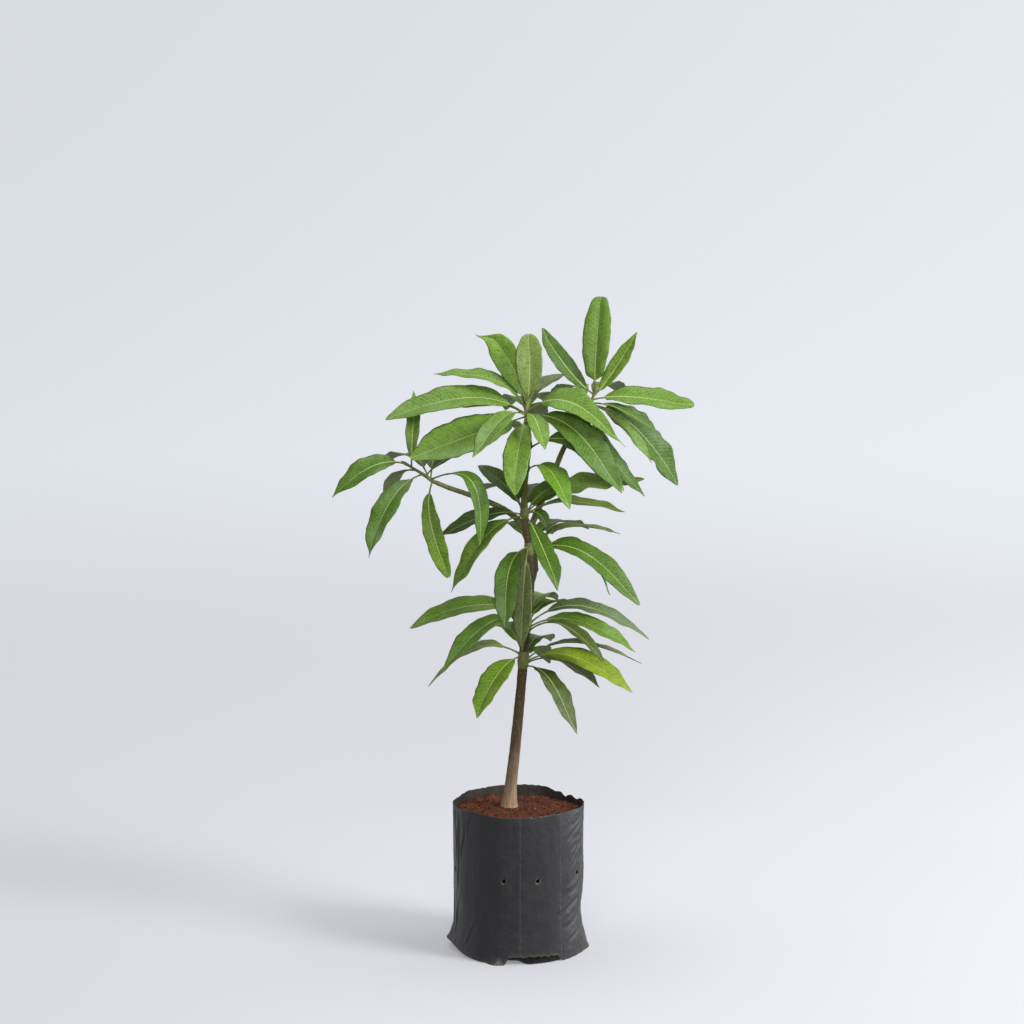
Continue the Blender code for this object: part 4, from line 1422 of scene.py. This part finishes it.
class SAPLING_OT_limbs(bpy.types.Operator):
    """Make the trunk and the two boughs with the relief of their bark"""

    bl_idname = "sapling.limbs"
    bl_label = "Trunk and Boughs"

    def execute(self, context):
        recipe = limb_recipe()
        brown = shaded(colours().bark, 1.0)
        pale = (*from_srgb(186, 156, 126), 1.0)
        green = (*from_srgb(136, 140, 74), 1.0)
        bark = bark_material("trunk_bark", pale, brown, green)
        upper = (*from_srgb(146, 146, 92), 1.0)
        young = bark_material("bough_bark", green, blended(brown, green, 0.65), upper, 0.7)
        relief = context.scene.sapling_sizes.bark_relief
        limbs = (
            ("trunk", trunk_line(), bark, "bark", relief, 40),
            ("bough_left", self.bough(LEFT_ROUTE, LEFT_RADII), young, "green_bark", relief * 0.6, 28),
            ("bough_right", self.bough(RIGHT_ROUTE, RIGHT_RADII), young, "green_bark", relief * 0.6, 28),
        )
        for node, (route, radii), material, slot, depth, sides in limbs:
            line = line_curve(node + "_line", [list(zip(route, radii))])
            piece = grown(node + "_bark", line, recipe, {
                "Sides": sides, "Ring pitch": 0.0011, "Relief": depth * 3,
                "Grain": (330.0, 330.0, 62.0), "Finish": material,
            })
            ride(piece, slot, node)
        return {"FINISHED"}

    def bough(self, route_mm, radii):
        route = smooth_route(in_metres(route_mm))
        return route, tapering(route, radii)


class SAPLING_OT_foliage(bpy.types.Operator):
    """Grow the stalks and blades of every whorl"""

    bl_idname = "sapling.foliage"
    bl_label = "Leaves"

    def execute(self, context):
        finishes = leaf_finishes()
        stalks = stalk_material("green_stalk", tuple(colours().stalk))
        recipe = limb_recipe()
        taken = [solid_tree(name) for name in ("trunk", "bough_left", "bough_right")]
        trunk = trunk_line()
        seed = context.scene.sapling_sizes.seed
        grown_whorls = []
        for number, (whorl, low, high) in enumerate(TRUNK_WHORLS):
            leaves = placed_leaves(whorl, number, trunk_foot(trunk, low, high), taken)
            grown_whorls.append((whorl, leaves, [self.collar(trunk, low, high)]))
        for number, (whorl, limb, beyond) in enumerate(TIP_WHORLS):
            route = shoot_route(limb, beyond)
            leaves = placed_leaves(whorl, number + len(TRUNK_WHORLS), shoot_foot(route), taken)
            stems = [list(zip(route, tapering(route, SHOOT_RADII))), bud_line(route)]
            grown_whorls.append((whorl, leaves, stems))
        for whorl, leaves, stems in grown_whorls:
            ride(make_blades(whorl, leaves, finishes, seed), "leaf", whorl.name)
            line = line_curve(whorl.name + "_lines", stalk_lines(leaves) + stems)
            piece = grown(whorl.name + "_stalks", line, recipe, {
                "Sides": 14, "Ring pitch": 0.0009, "Relief": 0.0004,
                "Grain": (500.0, 500.0, 200.0), "Finish": stalks,
            })
            ride(piece, "green_bark", whorl.name)
        return {"FINISHED"}

    def collar(self, trunk, low, high):
        """A swollen ring of old leaf scars round the trunk."""
        route, radii = trunk
        line = []
        steps = 12
        for k in range(steps + 1):
            share = k / steps
            place, at = trunk_point(route, low - COLLAR_MARGIN + (high - low + 2 * COLLAR_MARGIN) * share)
            swell = COLLAR * 0.75 * math.sin(math.pi * share) * (0.75 + 0.25 * math.cos(share * 5 * TAU))
            line.append((place, radii[at] + 0.0002 + swell))
        return line


# The studio's round floor, its wall and the curve between them, then the camera's place, how many degrees
# it is tipped down, its focal length and picture in pixels, and its sensor in millimetres
STAGE_RADIUS = 6.0
STAGE_WALL = 4.5
STAGE_CURVE = 2.6
CAMERA_PLACE = (-0.0075, -2.8, 0.87)
CAMERA_PITCH = 6.4
FOCAL_PIXELS = 2260
PICTURE_PIXELS = 1024
SENSOR = 36.0


class SAPLING_OT_stage(bpy.types.Operator):
    """Set the pale round studio, its soft lights and the camera"""

    bl_idname = "sapling.stage"
    bl_label = "Studio"

    def execute(self, context):
        self.backdrop()
        self.light("key", (2.5, -1.3, 2.2), 1.3, 96)
        self.light("front", (-0.2, -3.1, 1.8), 1.6, 44)
        self.light("top", (-0.2, 0.2, 3.2), 1.6, 26)
        self.light("side", (2.6, 0.5, 0.9), 2.4, 22)
        context.scene.world = self.air()
        context.scene.view_settings.view_transform = "Standard"
        lens = bpy.data.cameras.new("camera")
        lens.lens = FOCAL_PIXELS / PICTURE_PIXELS * SENSOR
        lens.sensor_width = SENSOR
        camera = linked("camera", lens)
        camera.location = CAMERA_PLACE
        camera.rotation_euler = (math.radians(90 - CAMERA_PITCH), 0, 0)
        context.scene.camera = camera
        return {"FINISHED"}

    def air(self):
        """Soft light from all round, dim on the side that the camera stands on."""
        world = bpy.data.worlds.new("studio_air")
        world.use_nodes = True
        tree = world.node_tree
        heading = add(tree, "ShaderNodeTexCoord").outputs["Generated"]
        depth = add(tree, "ShaderNodeSeparateXYZ", {"Vector": heading}).outputs["Y"]
        strength = spread(tree, depth, -0.7, 0.9, 0.12, 0.50)
        air = tree.nodes["Background"]
        air.inputs["Color"].default_value = (0.94, 0.96, 1.0, 1)
        tree.links.new(strength, air.inputs["Strength"])
        return world

    def light(self, name, place, size, power):
        lamp = bpy.data.lights.new(name, "AREA")
        lamp.shape = "DISK"
        lamp.size = size
        lamp.energy = power
        obj = linked(name, lamp)
        obj.location = place
        aim = Vector((0, 0, 0.45)) - Vector(place)
        obj.rotation_euler = aim.to_track_quat("-Z", "Y").to_euler()

    def backdrop(self):
        """A round floor that curves up into a wall on all sides, glowing with painted light."""
        profile = [(0.0, 0.0), (0.6, 0.0), (1.6, 0.0), (STAGE_RADIUS - STAGE_CURVE, 0.0)]
        for step in range(1, 17):
            angle = math.pi / 2 * step / 16
            profile.append((
                STAGE_RADIUS - STAGE_CURVE + STAGE_CURVE * math.sin(angle),
                STAGE_CURVE * (1 - math.cos(angle)),
            ))
        profile.append((STAGE_RADIUS, STAGE_WALL))
        around = 96
        points, faces = [(0, 0, 0)], []
        for radius, z in profile[1:]:
            for k in range(around):
                points.append((radius * math.cos(TAU * k / around), radius * math.sin(TAU * k / around), z))
        faces += [(0, 1 + k, 1 + (k + 1) % around) for k in range(around)]
        for ring in range(len(profile) - 2):
            base = 1 + ring * around
            faces += band(base, base + around, around, flipped=True)
        mesh = bpy.data.meshes.new("studio_floor")
        mesh.from_pydata(points, [], faces)
        mesh.shade_smooth()
        made, tree, shader = new_material("studio_paper", 0.9, 0.1)
        shader.inputs["Base Color"].default_value = shaded(colours().studio, 0.62)
        place = object_place(tree)
        # The glow is painted light: brighter to the right, towards the back and farther out
        away = add(tree, "ShaderNodeVectorMath", {0: place}, operation="LENGTH").outputs["Value"]
        far = spread(tree, away, 0.8, 4.5)
        parts = add(tree, "ShaderNodeSeparateXYZ", {"Vector": place}).outputs
        across = spread(tree, parts["X"], -2.0, 2.0, 0.91, 1.12)
        strength = spread(tree, far, 0.0, 1.0, 0.262, 0.60)
        onward = spread(tree, parts["Y"], -0.5, 0.6, -0.05, 0.035)
        painted_glow = multiplied(tree, strength, across, onward)
        tint = mixed(tree, far, (0.95, 0.955, 1.0, 1), (0.9, 0.935, 1.0, 1))
        tree.links.new(tint, shader.inputs["Emission Color"])
        tree.links.new(painted_glow, shader.inputs["Emission Strength"])
        mesh.materials.append(made)
        floor = linked("studio_floor", mesh)
        floor.visible_diffuse = floor.visible_glossy = floor.visible_shadow = False
        return floor


class SAPLING_PT_panel(bpy.types.Panel):
    """Lists the sizes, colours and pieces of the sapling"""

    bl_label = "Potted Mango Sapling"
    bl_idname = "SAPLING_PT_panel"
    bl_space_type = "VIEW_3D"
    bl_region_type = "UI"
    bl_category = "Mango"

    def draw(self, context):
        for group in (context.scene.sapling_sizes, context.scene.sapling_colours):
            box = self.layout.box()
            for name in group.bl_rna.properties.keys():
                if name not in ("rna_type", "name"):
                    box.prop(group, name)
        for operator in OPERATORS:
            self.layout.operator(operator.bl_idname)


OPERATORS = (SAPLING_OT_bag, SAPLING_OT_soil, SAPLING_OT_limbs, SAPLING_OT_foliage, SAPLING_OT_stage)
CLASSES = (SaplingSizes, SaplingColours, *OPERATORS, SAPLING_PT_panel)


def register():
    for item in CLASSES:
        bpy.utils.register_class(item)
    bpy.types.Scene.sapling_sizes = PointerProperty(type=SaplingSizes)
    bpy.types.Scene.sapling_colours = PointerProperty(type=SaplingColours)


def unregister():
    del bpy.types.Scene.sapling_colours
    del bpy.types.Scene.sapling_sizes
    for item in reversed(CLASSES):
        bpy.utils.unregister_class(item)


def main():
    register()
    bpy.ops.sapling.stage()
    bpy.ops.sapling.bag()
    bpy.ops.sapling.soil()
    bpy.ops.sapling.limbs()
    bpy.ops.sapling.foliage()


if __name__ == "__main__":
    main()
